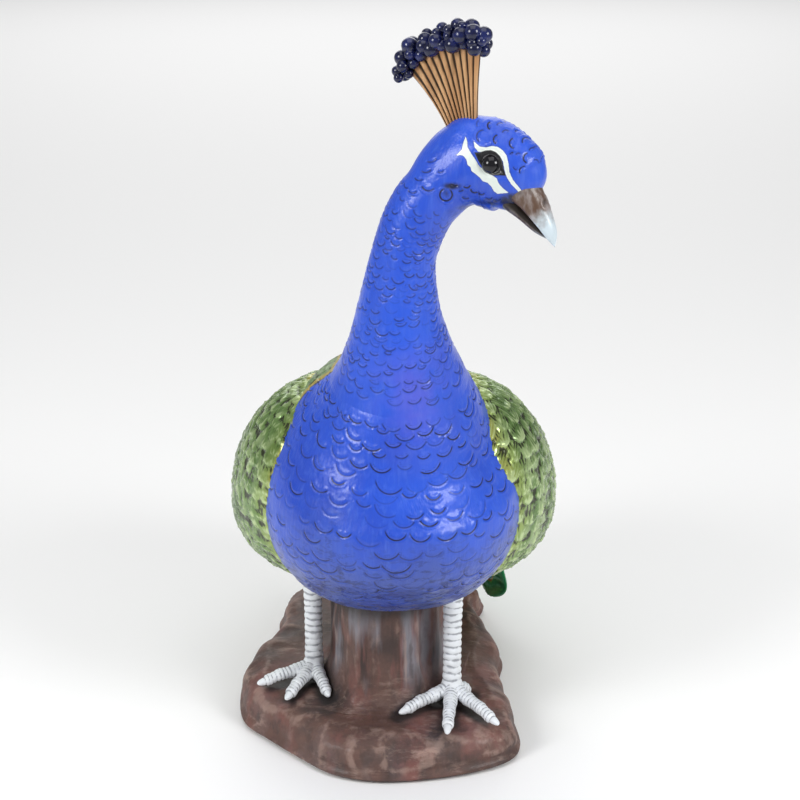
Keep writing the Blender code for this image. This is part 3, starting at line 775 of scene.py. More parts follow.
wing = {
    "columns": (14, 118, 96, 32), "edges": (-0.5, -0.39, -0.03, 0.28, 0.5), "rings": (44, 150, 56),
    "ringEdges": (0, 0.18, 0.80, 1), "bodyX": -10, "upperRounding": 0.95, "lowerRounding": 0.86,
    "sunk": 0.9, "crinkleSizes": (0.0085, 0.019),
    # middle, half width and depth, height above and below the middle, lean
    "lobe": ((62, 82, 270), 177, 190, 208, 126, 0.30),
    # the pale green paints highlights and sheen, and the dark olive paints shade in the hollows
    "green": (0.155, 0.270, 0.075), "darkGreen": (0.070, 0.155, 0.030), "shadeOlive": (0.022, 0.026, 0.008),
    "gold": (0.50, 0.42, 0.08), "highlightGreen": (0.58, 0.72, 0.36), "limeGreen": (0.36, 0.46, 0.12),
    "leftWingFeather": {"step": 15.0, "gap": 17.5, "wide": 21.0, "long": 32.0, "thick": 3.2,
                        "turn": 8, "barbs": (0.46, 3.4), "crinkle": 0.85},
    "rightWingFeather": {"step": 9.5, "gap": 12.0, "wide": 15.5, "long": 21.0, "thick": 2.3,
                         "turn": 24, "barbs": (0.30, 3.0), "crinkle": 1.05},
}
mantle = {
    "columns": 150, "rings": 96, "lobe": ((0, 98, 342), 142, 185, 150, 170, 0.30),
    "feather": {"step": 9.5, "gap": 14.0, "wide": 16.5, "long": 22.0, "thick": 2.2, "turn": 8,
                "barbs": (0.16, 4.0)},
}


def lobePlaces(lobe, side, shares, angles):
    middle, wide, deep, up, down, lean = lobe
    rise = math.pi * (np.asarray(shares) - 0.5)
    power = np.where(rise > 0, wing["upperRounding"], wing["lowerRounding"])
    level = np.maximum(np.cos(rise), 0.0) ** power
    height = np.sign(rise) * np.abs(np.sin(rise)) ** power * np.where(rise > 0, up, down)
    x = wing["bodyX"] + side * (middle[0] + wide * level[:, None] * np.cos(angles)[None, :])
    y = middle[1] + deep * level[:, None] * np.sin(angles)[None, :] - lean * height[:, None]
    z = middle[2] + height[:, None] + 0 * x
    return posePoints(np.stack((x, y, z), axis=-1))


def markRelief(skin, blur):
    # how far each point stands above or below what is round it, for the painted highlights on raised parts
    # and the painted shade in hollows
    field = skin.lift
    for _ in range(blur):
        field = (np.roll(field, 1, 1) + np.roll(field, -1, 1) + 2 * field) / 4
        inner = (field[:-2] + field[2:] + 2 * field[1:-1]) / 4
        field = np.concatenate((field[:1], inner, field[-1:]))
    skin.fields["reliefShading"] = skin.lift - field


def bodyDistance(points):
    # how far outside the blue body each point is, in mm
    rows = np.array(plumage["rows"][1:12], float)
    tail = tableHeight(points)
    wide, front, middle = (np.interp(tail, rows[:, 2], rows[:, k]) for k in (3, 5, 1))
    u = (points[..., 0] / poseUnit - wing["bodyX"]) / wide
    v = np.minimum(points[..., 1] / poseUnit - middle, 0) / front
    return (np.hypot(u, v) - 1) * wide * poseUnit * 1000


longFeathers = {
    "columns": 30, "rings": 32, "thickness": 13,
    # the row on a wing: height angle, count, first and last swing, length
    "wingRow": (-28, 4, -56, 50, 62), "wingBarbs": (0.42, 3.6), "wingTilt": 0.22,
    # the rows on the train: share of the way down, count, length
    "trainRows": ((0.32, 3, 100), (0.48, 3, 104), (0.64, 3, 100), (0.80, 3, 78)),
    "trainHalfWidth": 44, "trainShift": 14, "trainBarbs": (0.36, 3.8), "eyeSpot": (7.5, 9.0),
}


def longFeather(root, run, normal, halfWidth, ribs):
    # one long feather as a flat lens from root to tip, with barbs raised on both faces
    side = unitRows(np.cross(run, normal))
    shares = np.linspace(0, 1, longFeathers["rings"] + 1)
    angles = evenAngles(longFeathers["columns"])
    width = halfWidth * np.maximum(np.sin(math.pi * shares ** 1.5), 0.0) ** 0.6
    ends = np.clip(np.minimum(shares, 1 - shares) / 0.03, 0, 1)
    depth = longFeathers["thickness"] / 2 * np.sqrt(ends)
    lifted = (longFeathers["thickness"] / 2 * (shares - 0.55))[:, None, None]
    centre = root + run * shares[:, None, None] + normal * lifted
    spot = centre + side * (width[:, None] * np.cos(angles)[None])[..., None]
    spot = spot + normal * (depth[:, None] * np.sin(angles)[None])[..., None]
    skin = Skin(posePoints(spot), shares, angles, downward=1)
    across = np.abs(width[:, None] * np.cos(angles)[None]) * poseUnit * 1000
    along = shares[:, None] * np.linalg.norm(run) * poseUnit * 1000
    depthOfRibs, wave = ribs
    inner = smoothStep(0, 4.0, width[:, None] * poseUnit * 1000 - across)
    rib = np.cos(fullTurn * (along * 0.45 + across * 0.95) / wave) * inner
    shaft = bell(across, 0.9) * inner
    skin.lift = depthOfRibs * (rib + 1.5 * shaft)
    # painted highlight on the barbs and the shaft, painted shade towards the edges
    skin.fields["reliefShading"] = 0.45 * rib + 0.5 * shaft - 0.75 * (1 - inner)
    skin.across, skin.along = across, along
    return skin


def lobeSpot(lobe, side, rise, swing):
    return tablePoints(lobePlaces(lobe, side, np.array([rise / 180 + 0.5]), np.radians([swing]))[0, 0])


def wingFeathers(side):
    # the long feathers down the side of a wing, each with its tip raised a little
    made = []
    rise, count, first, last, length = longFeathers["wingRow"]
    for number in range(count):
        swing = first + (last - first) * (number + 0.5) / (count - 0.5)
        root = lobeSpot(wing["lobe"], side, rise, swing)
        down = unitRows(lobeSpot(wing["lobe"], side, rise - 4, swing + 2) - root)
        across = lobeSpot(wing["lobe"], side, rise, swing + 4) - root
        normal = unitRows(np.cross(across, down))
        if normal[0] * side < 0:
            normal = -normal
        run = unitRows(down - normal * longFeathers["wingTilt"]) * length
        skin = longFeather(root, run, normal, length / 2, longFeathers["wingBarbs"])
        skin.fields["gold"] = 0 * skin.lift
        skin.fields["lime"] = 0.25 + 0 * skin.lift
        made.append(skin)
    return made


def greenPaint():
    paint = Paint("wingPaint", wing["green"], 0.25, coat=0.30, metallic=0.38)
    paint.layFrom(paint.noise(20, (1, 1, 1), 2), 0.36, 0.68, wing["darkGreen"], 0.8)
    # random patches of painted sheen in the pale highlight green
    paint.layFrom(paint.noise(48, (1, 1, 0.6)), 0.45, 0.75, wing["highlightGreen"], 0.50)
    paint.lay(paint.times(paint.read("lime"), paint.ramp(paint.noise(60), 0.2, 0.6)), wing["limeGreen"])
    paint.lay(paint.times(paint.read("gold"), paint.ramp(paint.noise(90), 0.30, 0.6)), wing["gold"])
    reliefShading = paint.read("reliefShading")
    # painted highlight on the raised feathers
    paint.layFrom(reliefShading, 0.10, 0.9, wing["highlightGreen"], 0.70)
    # painted shade in the hollows between the feathers, in dark olive
    paint.layFrom(paint.ragged(reliefShading, 210, 0.20), -0.12, -0.70, wing["shadeOlive"], 0.94)
    return paint.finish(paint.noise(190, (1, 1, 0.4)), 0.0010, 0.60)


def makeWings(paint):
    for side, name in ((1, "leftWing"), (-1, "rightWing")):
        feather = wing[name + "Feather"]
        shares = np.concatenate((shareOut(wing["rings"], wing["ringEdges"]), (1.0,)))
        angles = shareOut(wing["columns"], wing["edges"]) * fullTurn
        skin = Skin(lobePlaces(wing["lobe"], side, shares, angles), shares, angles)
        outer = int(np.argmin(np.abs(angles + 0.3)))
        for ring, column, picker in featherSpots(skin, 5 + side, outer, feather, (10, 8)):
            if abs(math.remainder(angles[column], fullTurn)) > 2.5:
                continue
            turn = math.radians(picker.uniform(-feather["turn"], feather["turn"])) + side * 0.12
            size = picker.uniform(0.85, 1.15)
            addFeather(skin, ring, column, feather["wide"] * size, feather["long"] * size,
                       feather["thick"] * picker.uniform(0.8, 1.2), turn, feather["barbs"])
        fine, coarse = wing["crinkleSizes"]
        crinkle = 1 - 2 * np.abs(cloud(skin.places, fine, 8))
        skin.lift += feather["crinkle"] * (crinkle * 0.8 + 0.5 * cloud(skin.places, coarse, 9))
        skin.lift -= wing["sunk"]
        markRelief(skin, 26)
        edge = bodyDistance(skin.places)
        front = skin.normals[..., 1] < 0.2
        high = smoothStep(0.20, 0.27, skin.places[..., 2])
        gilt = (0.10 + 0.90 * high) * (0.7 - side * 0.3)
        skin.fields["gold"] = (1 - smoothStep(-2, 3, edge)) * front * gilt
        skin.fields["lime"] = (1 - smoothStep(0, 12, edge)) * front * 0.75
        skin.build(name, paint, "wing_green")
        mesh = skinMesh(name + "Feathers", wingFeathers(side))
        finishMesh(name + "Feathers", mesh, paint)


def makeMantle(paint):
    shares = np.linspace(0, 1, mantle["rings"] + 1)
    angles = evenAngles(mantle["columns"])
    skin = Skin(lobePlaces(mantle["lobe"], 1, shares, angles), shares, angles)
    feather = mantle["feather"]
    for ring, column, picker in featherSpots(skin, 9, mantle["columns"] // 4, feather, (20, 6)):
        thick = feather["thick"] * picker.uniform(0.8, 1.1)
        turn = math.radians(picker.uniform(-feather["turn"], feather["turn"]))
        addFeather(skin, ring, column, feather["wide"], feather["long"], thick, turn, feather["barbs"])
    skin.lift -= wing["sunk"]
    markRelief(skin, 14)
    skin.fields["gold"] = 0.06 + 0.2 * cloud(skin.places, 0.03, 2)
    skin.fields["lime"] = 0.15 + 0 * skin.lift
    skin.build("mantle", paint, "wing_green")


# train

train = {
    "columns": (64, 104), "edges": (0.05, 0.45, 1.05), "rings": 215,
    "green": (0.016, 0.290, 0.100), "darkGreen": (0.005, 0.100, 0.036), "bronze": (0.30, 0.17, 0.03),
    "turquoise": (0.01, 0.30, 0.33), "navy": (0.004, 0.006, 0.060), "leaf": (0.12, 0.36, 0.06),
    "eyeSpot": (5.8, 7.2),
    "feather": {"step": 19.0, "gap": 23.0, "wide": 27.0, "long": 42.0, "thick": 2.8, "turn": 5,
                "barbs": (0.20, 3.8)},
    "rows": (
        (-10, 130, 380, 0, 0, 0, 0),
        (-10, 165, 375, 100, 40, 40, 0),
        (-8, 225, 345, 128, 45, 45, 0),
        (-2, 285, 285, 138, 40, 42, 0),
        (14, 325, 215, 140, 34, 36, -6),
        (34, 345, 145, 136, 28, 30, -14),
        (55, 344, 84, 122, 20, 22, -22),
        (64, 340, 44, 118, 16, 18, -26),
        (70, 337, 16, 116, 14, 14, -28),
        (72, 336, 0, 96, 10, 10, -28),
        (73, 336, -7, 0, 0, 0, -28),
    ),
}


def trainPaint():
    paint = Paint("trainPaint", train["green"], 0.34, coat=0.35, metallic=0.15)
    paint.layFrom(paint.noise(40), 0.35, 0.7, train["darkGreen"])
    paint.layFrom(paint.noise(150, (1, 1, 0.3)), 0.5, 0.8, train["leaf"], 0.5)
    reliefShading = paint.read("reliefShading")
    # painted highlight on raised feathers and barbs, and painted shade in the hollows
    paint.layFrom(reliefShading, 0.2, 1.1, train["leaf"], 0.6)
    paint.layFrom(reliefShading, -0.1, -0.8, train["darkGreen"], 0.9)
    ring = paint.ragged(paint.read("ocellus"), 260, 0.05)
    for edge, tone in ((1.0, "leaf"), (0.86, "bronze"), (0.58, "turquoise"), (0.34, "navy")):
        paint.layFrom(ring, edge, edge - 0.07, train[tone])
    return paint.finish(paint.noise(300, (1, 1, 0.4)), 0.0006, 0.3)


def trainFeathers():
    made = []
    for row, (share, count, length) in enumerate(longFeathers["trainRows"]):
        for number in range(count):
            angle = math.radians(-90 + 60 * (number - 1 + 0.5 * (row % 2 - 0.5)))
            spots = tablePoints(sweptPlaces(train["rows"], np.array([share - 0.08, min(share + 0.04, 0.95)]),
                                            np.array([angle, angle + 0.1])))
            root = spots[0, 0] - np.array((longFeathers["trainShift"] * math.cos(angle), 0, 0))
            ahead = unitRows(spots[1, 0] - spots[0, 0])
            normal = unitRows(np.cross(ahead, spots[0, 1] - spots[0, 0]))
            skin = longFeather(root, ahead * length, normal, longFeathers["trainHalfWidth"],
                               longFeathers["trainBarbs"])
            wide, tall = longFeathers["eyeSpot"]
            skin.fields["ocellus"] = np.hypot(skin.across / wide, (skin.along - skin.along.max() / 2) / tall)
            # the train's long feathers are painted lighter all over, as painted light against the shade the
            # wing casts on them
            skin.fields["reliefShading"] = skin.fields["reliefShading"] + 0.35
            made.append(skin)
    return made


def makeTrain():
    shares = np.linspace(0, 1, train["rings"] + 1)
    angles = shareOut(train["columns"], train["edges"]) * fullTurn
    skin = Skin(sweptPlaces(train["rows"], shares, angles), shares, angles, downward=1)
    skin.fields["ocellus"] = np.full(skin.places.shape[:2], 2.0)
    outer = int(np.argmin(np.abs(angles - 1.5 * math.pi)))
    feather = train["feather"]
    for ring, column, picker in featherSpots(skin, 31, outer, feather, (12, 16), 0.08):
        size = picker.uniform(0.92, 1.06)
        turn = math.radians(picker.uniform(-feather["turn"], feather["turn"]))
        window, higher, u, v = addFeather(skin, ring, column, feather["wide"] * size, feather["long"] * size,
                                          feather["thick"], turn, feather["barbs"])
        if math.sin(angles[column]) > -0.1:
            continue
        wide, tall = train["eyeSpot"]
        spot = np.hypot(u / wide, (v - feather["long"] * 0.16) / tall)
        skin.fields["ocellus"][window] = np.where(higher, spot, skin.fields["ocellus"][window])
    skin.lift = np.where(skin.lift < 0, 0, skin.lift) - 1.0
    skin.lift *= smoothStep(0.0, 0.03, 1 - shares)[:, None]
    markRelief(skin, 16)
    paint = trainPaint()
    skin.build("train", paint, "train_green")
    finishMesh("trainFeathers", skinMesh("trainFeathers", trainFeathers()), paint)


# crest

crest = {
    "middle": (82, -99, 871), "turn": math.radians(56),
    "root": ((20, 9), (0, 2), (-20, -11)),
    "top": ((24, 100), (2, 106), (-22, 102), (-46, 93), (-67, 79), (-82, 59)),
    "crown": ((30, 118), (10, 132), (-18, 129), (-48, 119), (-77, 101), (-98, 76), (-101, 52)),
    "lean": 32, "quills": 11, "thickness": 5.8, "start": -0.28, "end": 1.02,
    "tan": (0.46, 0.235, 0.100), "lightTan": (0.66, 0.40, 0.20), "umber": (0.016, 0.007, 0.003),
    "quillColumns": 20, "rings": 64, "beadSizes": (0.0078, 0.0136),
    # share of the way from the fan's top to the crown, how far off the fan's plane, shift, count
    "beadRows": (
        (0.06, 8, 0.0, 8), (0.06, -8, 0.45, 8), (0.46, 12, 0.2, 8), (0.46, -12, 0.7, 8),
        (0.84, 7, 0.5, 8), (0.84, -7, 0.0, 9), (0.92, 0, 0.3, 8),
    ),
    "navy": (0.003, 0.005, 0.034), "blueGlint": (0.010, 0.017, 0.110),
}


def crestPlaces(ahead, above, offPlane):
    turn = crest["turn"]
    level = np.array((math.sin(turn), -math.cos(turn), 0.0))
    across = np.array((math.cos(turn), math.sin(turn), 0.0))
    spot = np.array(crest["middle"], float) + level * np.asarray(ahead, float)[..., None]
    spot = spot + across * np.asarray(offPlane, float)[..., None]
    return posePoints(spot + np.array((0, 0, 1.0)) * np.asarray(above, float)[..., None])


def quillPaint():
    paint = Paint("quillPaint", crest["tan"], 0.46, coat=0.08, shine=0.3)
    paint.layFrom(paint.noise(130, (1, 1, 0.12)), 0.35, 0.7, crest["lightTan"])
    reliefShading = paint.ragged(paint.read("reliefShading"), 170, 0.12, (1, 1, 0.2))
    # painted shade in the grooves between the quills and near their root
    paint.layFrom(reliefShading, 0.82, 0.36, crest["umber"], 0.96)
    paint.layFrom(paint.noise(70, (1, 1, 0.16), 4), 0.54, 0.72, crest["umber"], 0.40)
    return paint.finish(paint.noise(320, (1, 1, 0.15), 2), 0.0005, 0.35)


def makeQuills():
    shares = np.linspace(0, 1, crest["rings"] + 1)
    angles = evenAngles(crest["quillColumns"] * crest["quills"])
    # once round the fan: one face from edge to edge, then the other face back
    turn = angles / fullTurn
    place = np.where(turn < 0.5, 2 * turn, 2 - 2 * turn)
    facing = np.where(turn < 0.5, 1.0, -1.0)
    ridge = np.abs(np.sin(math.pi * crest["quills"] * place)) ** 0.75
    edge = np.minimum(1.0, np.minimum(14 * place, 14 * (1 - place)) + 0.05)
    capped = smoothStep(0.0, 0.03, shares) * smoothStep(0.0, 0.03, 1 - shares)
    thick = crest["thickness"] * (0.42 + 0.58 * ridge * capped[:, None]) * edge * np.sqrt(capped)[:, None]
    root, top = alongCurve(crest["root"], place), alongCurve(crest["top"], place)
    lean = np.radians(crest["lean"] * place)
    length = np.linalg.norm(top - root, axis=1, keepdims=True)
    bend = root + np.stack((-np.sin(lean), np.cos(lean)), axis=1) * length * 0.5
    t = (crest["start"] + (crest["end"] - crest["start"]) * shares)[:, None, None]
    spot = np.where(t < 0, root + (bend - root) * 2 * t,
                    root * (1 - t) ** 2 + bend * 2 * t * (1 - t) + top * t ** 2)
    skin = Skin(crestPlaces(spot[..., 0], spot[..., 1], thick * facing), shares, angles)
    # high on the quills' ridges, low in the grooves and towards the root, where the paint lays painted shade
    skin.fields["reliefShading"] = ridge[None, :] * (0.55 + 0.45 * smoothStep(-0.05, 0.12, t[:, :, 0]))
    skin.build("crestQuills", quillPaint(), "quill_tan")


def makeBeads():
    picker = random.Random(4)
    form = bmesh.new()
    for blend, offPlane, shift, count in crest["beadRows"]:
        for number in range(count):
            place = (number + shift) / (count - 0.3)
            inner = alongCurve(crest["top"], np.array([place]))[0]
            outer = alongCurve(crest["crown"], np.array([place]))[0]
            spot = inner + (outer - inner) * (blend + picker.uniform(-0.10, 0.10))
            centre = crestPlaces(spot[0], spot[1], offPlane + picker.uniform(-2, 2))
            radius = picker.uniform(*crest["beadSizes"]) / 2
            made = bmesh.ops.create_uvsphere(form, u_segments=20, v_segments=12, radius=radius)
            bmesh.ops.translate(form, verts=made["verts"], vec=Vector(centre))
    paint = Paint("beadPaint", crest["navy"], 0.22, coat=0.55, shine=0.3)
    paint.layFrom(paint.noise(120), 0.4, 0.7, crest["blueGlint"])
    finishMesh("crestBeads", newMesh("crestBeads", form), paint.finish())


# bill

bill = {
    "columns": 72, "rings": 84,
    "brown": (0.105, 0.058, 0.036), "umber": (0.016, 0.010, 0.008), "ash": (0.30, 0.26, 0.25),
    "pale": (0.60, 0.70, 0.76), "nostril": (545.0, 202.0), "nostrilSize": (1.9, 3.6),
    "upper": (
        (140, -127, 806, 0, 0, 0, 56),
        (152, -135, 800, 24, 26, 14, 56),
        (168, -147, 782, 21, 22, 9, 56),
        (182, -157, 762, 15, 16, 6, 56),
        (192, -164, 745, 9, 10, 4, 56),
        (198, -168, 731, 0, 0, 0, 56),
    ),
    "lower": (
        (128, -120, 792, 0, 0, 0, 56),
        (144, -131, 785, 21, 12, 13, 56),
        (162, -144, 768, 16, 9, 9, 56),
        (178, -155, 752, 10, 6, 6, 56),
        (192, -164, 739, 0, 0, 0, 56),
    ),
}


def billPaint():
    paint = Paint("billPaint", bill["brown"], 0.36, coat=0.2)
    along = paint.ragged(paint.read("along"), 110, 0.07)
    paint.layFrom(paint.noise(150, (1, 1, 0.4)), 0.40, 0.68, bill["ash"])
    paint.layFrom(along, 0.50, 0.70, bill["pale"])
    paint.layFrom(along, 0.34, 0.20, bill["umber"], 0.75)
    paint.lay(paint.read("gape"), bill["umber"])
    return paint.finish(paint.noise(260, (1, 1, 0.3)), 0.0004, 0.3)


def makeBill():
    paint = billPaint()
    for part in ("upper", "lower"):
        shares = np.linspace(0, 1, bill["rings"] + 1)
        angles = evenAngles(bill["columns"])
        skin = Skin(sweptPlaces(bill[part], shares, angles), shares, angles)
        under = -np.sin(angles)[None, :] + 0 * shares[:, None]
        skin.fields["along"] = shares[:, None] + 0 * under
        if part == "upper":
            skin.fields["gape"] = 0.97 * smoothStep(0.30, 0.62, under)
            spots, facing = faceSpots(skin.places, skin.normals)
            nostril = np.hypot(*((spots - bill["nostril"]) / bill["nostrilSize"]).transpose(2, 0, 1))
            nostril = np.where(facing > 0.05, nostril, 9)
            hole = bell(nostril, 1)
            skin.lift += 0.5 * bell(nostril - 1.8, 0.6) - 0.9 * hole
            skin.fields["gape"] = np.maximum(skin.fields["gape"], 0.75 * hole)
        else:
            skin.fields["gape"] = 0.55 + 0.42 * smoothStep(0.1, -0.2, under) + 0 * shares[:, None]
            skin.fields["along"] = skin.fields["along"] * 0.72
        skin.build(part + "Bill", paint, "bill_horn")


# legs and feet

legs = {
    "shankDiameter": 0.0165, "toeDiameter": 0.0130, "hipHeight": 190, "shankStep": 0.0064, "toeStep": 0.0035,
    "voxel": 0.00092, "limbColumns": 26, "limbRings": 69, "smoothings": 5,
    "ankleRise": 0.007, "padSize": 0.66, "padPlace": (0, -0.004, 0.0068), "knuckles": (0.34, 0.60, 0.80),
    # the rings' relief in mm and how far below the surface it starts
    "shankRelief": (1.15, 0.70), "toeRelief": (0.70, 0.40),
    "leftFoot": ((77, -57), ((-54, 98), (-5, 113), (37, 110), (105, 30))),
    "rightFoot": ((-130, 8), ((-65, 94), (-25, 93), (18, 80), (190, 34))),
    "white": (0.84, 0.87, 0.90), "grey": (0.16, 0.17, 0.20), "umber": (0.10, 0.075, 0.06),
}


def limbCentres(foot):
    # each limb as its two ends and its radius: the shank first, then the toes
    ankle, toes = legs[foot + "Foot"]
    base = posePoints((*ankle, 0))
    radius = legs["shankDiameter"] / 2
    limbs = [(base + np.array((0, 0, legs["ankleRise"])), posePoints((*ankle, legs["hipHeight"])), radius)]
    for heading, length in toes:
        way = math.radians(heading)
        ahead = np.array((math.sin(way), -math.cos(way), 0.0)) * length * poseUnit
        low = legs["toeDiameter"] * 0.30
        start = base + np.array((0, 0, legs["toeDiameter"] * 0.85))
        limbs.append((start, base + ahead + np.array((0, 0, low)), legs["toeDiameter"] / 2))
    return limbs


def limbSkin(start, end, radius, shank):
    shares = np.linspace(0, 1, legs["limbRings"] + 1)
    angles = evenAngles(legs["limbColumns"])
    ahead = end - start
    if shank:
        thick = radius * (1.04 - 0.12 * smoothStep(0.02, 0.25, shares) + 0.16 * smoothStep(0.55, 1.0, shares))
        centre = start + ahead * shares[:, None]
    else:
        thick = radius * (0.90 - 0.22 * smoothStep(0.1, 0.86, shares))
        claw = np.clip((shares - 0.84) / 0.16, 0, 1)
        thick = np.where(shares > 0.84, radius * 0.52 * np.sqrt(1 - claw ** 1.7), thick)
        for knuckle in legs["knuckles"]:
            thick = thick + radius * 0.10 * bell(shares - knuckle, 0.05)
        centre = start + ahead * shares[:, None]
        centre[:, 2] = end[2] + (start[2] - end[2]) * (1 - smoothStep(0.0, 0.75, shares))
        centre[:, 2] += radius * 0.5 * bell(shares - 0.62, 0.2)
    ends = np.clip(np.minimum(shares, 1 - shares) / 0.02, 0, 1) ** 0.5
    side = unitRows(np.cross(ahead, np.array((0.0, 1.0, 0.0) if shank else (0.0, 0.0, 1.0))))
    rise = unitRows(np.cross(side, ahead))
    around = side * np.cos(angles)[:, None] + rise * np.sin(angles)[:, None]
    return Skin(centre[:, None, :] + around[None] * (thick * ends)[:, None, None], shares, angles)


def legPaint():
    paint = Paint("legPaint", legs["white"], 0.42, coat=0.15)
    reliefShading = paint.ragged(paint.read("reliefShading"), 150, 0.30, reach=(0.25, 0.75))
    # painted shade in the grooves between the rings
    paint.layFrom(reliefShading, 0.72, 0.25, legs["grey"], 0.70)
    paint.layFrom(paint.noise(45), 0.52, 0.75, legs["grey"], 0.25)
    # painted shade low on the leg, where it meets the ground
    paint.lay(paint.read("paintedShade"), legs["umber"])
    return paint.finish(paint.noise(280), 0.0004, 0.3)


def legForm(limbs, ankle):
    # the limbs and a pad below the ankle, joined into one smooth form
    form = bmesh.new()
    for number, limb in enumerate(limbs):
        part = skinMesh("limb", [limbSkin(*limb, number == 0)])
        closeForm(part, 1e-6)
        form.from_mesh(part)
        bpy.data.meshes.remove(part)
    padRadius = legs["toeDiameter"] * legs["padSize"]
    padPlace = Vector(posePoints((*ankle, 0))) + Vector(legs["padPlace"])
    pad = bmesh.ops.create_uvsphere(form, u_segments=24, v_segments=14, radius=padRadius)
    bmesh.ops.translate(form, verts=pad["verts"], vec=padPlace)
    model = bpy.data.objects.new("roughLeg", newMesh("roughLeg", form))
    bpy.context.scene.collection.objects.link(model)
    joined = model.modifiers.new("joined", "REMESH")
    joined.mode = "VOXEL"
    joined.voxel_size = legs["voxel"]
    mesh = bpy.data.meshes.new_from_object(model.evaluated_get(bpy.context.evaluated_depsgraph_get()))
    bpy.data.objects.remove(model)
    form = bmesh.new()
    form.from_mesh(mesh)
    for _ in range(legs["smoothings"]):
        bmesh.ops.smooth_vert(form, verts=form.verts, factor=0.5, use_axis_x=True, use_axis_y=True,
                              use_axis_z=True)
    form.to_mesh(mesh)
    form.free()
    return mesh


def legRings(points, limbs):
    # how far up the swell of a ring each point is, and whether it is on the shank
    nearest = np.full(len(points), 1e9)
    place, share = np.zeros(len(points)), np.zeros(len(points))
    shank = np.zeros(len(points), bool)
    for number, (start, end, radius) in enumerate(limbs):
        ahead = end - start
        t = np.clip(((points - start) @ ahead) / (ahead @ ahead), 0, 1)
        away = np.linalg.norm(points - start - t[:, None] * ahead, axis=1) / radius
        closer = away < nearest
        nearest = np.where(closer, away, nearest)
        spot = t * np.linalg.norm(ahead)
        if number == 0:
            swing = np.arctan2(points[:, 1] - start[1], points[:, 0] - start[0])
            spot = spot + 0.0016 * np.cos(2 * swing) + 0.0008 * np.sin(3 * swing)
        spot = spot + cloud(points, 0.007, 12) * (0.0010 if number == 0 else 0.0007)
        spot = spot / (legs["shankStep"] if number == 0 else legs["toeStep"])
        place = np.where(closer, spot + number * 0.37, place)
        shank = np.where(closer, number == 0, shank)
        share = np.where(closer, t * (number > 0), share)
    ring = np.abs(np.sin(math.pi * place)) ** 0.6
    return np.where(share > 0.88, 1.0, ring), shank


def makeLegs():
    paint = legPaint()
    for foot in ("left", "right"):
        limbs = limbCentres(foot)
        mesh = legForm(limbs, legs[foot + "Foot"][0])
        points = readVectors(mesh.vertices, "co")
        normals = readVectors(mesh.vertex_normals, "vector")
        ring, shank = legRings(points, limbs)
        (high, sunk), (toeHigh, toeSunk) = legs["shankRelief"], legs["toeRelief"]
        lift = np.where(shank, high * ring - sunk, toeHigh * ring - toeSunk) / 1000
        mesh.vertices.foreach_set("co", (points + normals * lift[:, None]).ravel())
        # the rings' swell: the paint lays painted shade in the grooves between them
        addValues(mesh, "reliefShading", ring)
        # painted shade in the last few mm above the ground
        addValues(mesh, "paintedShade", 0.75 * smoothStep(0.0035, 0.0005, points[:, 2] - figure["groundTop"]))
        finishMesh(foot + "Leg", mesh, paint)


# ground and stump in one piece

ground = {
    "columns": 300, "rings": (24, 50, 60), "ringEdges": (0, 0.28, 0.62, 1.0),
    "width": 0.241, "depth": 0.312, "middle": (-0.020, 0.044),
    "stumpWidth": 0.094, "stumpDepth": 0.120, "stumpMiddle": (-0.012, 0.014), "toeShadeReach": 0.0050,
    # relief: height in mm, size in m, seed
    "lumps": ((1.6, 0.040, 6), (0.8, 0.017, 7)), "bark": (2.2, 0.0105, 5), "chips": (2.2, 0.026, 11),
    "sunk": 0.5, "stumpFoot": 0.0385, "stumpShade": (0.104, 0.128), "legShade": (0.014, 0.010),
    # folds round the stump: how many, turn, depth
    "folds": ((3, 0.6, 0.045), (7, 2, 0.035), (12, 0, 0.02)),
    "brown": (0.132, 0.068, 0.052), "darkBrown": (0.034, 0.022, 0.020), "red": (0.215, 0.080, 0.066),
    "tan": (0.42, 0.29, 0.24), "grey": (0.240, 0.235, 0.265), "black": (0.008, 0.006, 0.006),
    "outline": (
        (0.06, -1.00), (0.52, -0.95), (0.88, -0.83), (1.00, -0.67), (0.965, -0.40), (0.90, -0.02),
        (0.935, 0.20), (0.86, 0.42), (0.75, 0.70), (0.82, 0.84), (0.80, 0.93), (0.55, 0.99),
        (0.17, 1.00), (-0.25, 0.98), (-0.64, 0.92), (-0.78, 0.70), (-0.765, 0.46), (-0.86, 0.27),
        (-0.98, 0.08), (-1.00, -0.22), (-0.94, -0.44), (-0.76, -0.60), (-0.53, -0.78), (-0.28, -0.94),
    ),
    # each row: share of the ground's outline, share of the stump's, how much of the stump's, height in m
    "profile": (
        (0.0, 1.0, 0.0, 0.0), (0.93, 1.0, 0.0, 0.0), (1.0, 1.0, 0.0, 0.0115), (0.955, 1.0, 0.0, 0.026),
        (0.84, 1.7, 0.0, 0.0335), (0.73, 1.60, 0.30, 0.0350), (0.63, 1.44, 0.80, 0.0362),
        (0.60, 1.30, 1.0, 0.0385), (0.60, 1.18, 1.0, 0.0440), (0.60, 1.09, 1.0, 0.0560),
        (0.60, 1.03, 1.0, 0.0780), (0.60, 1.00, 1.0, 0.1180), (0.60, 0.96, 1.0, 0.1600),
        (0.60, 0.0, 1.0, 0.1650),
    ),
}


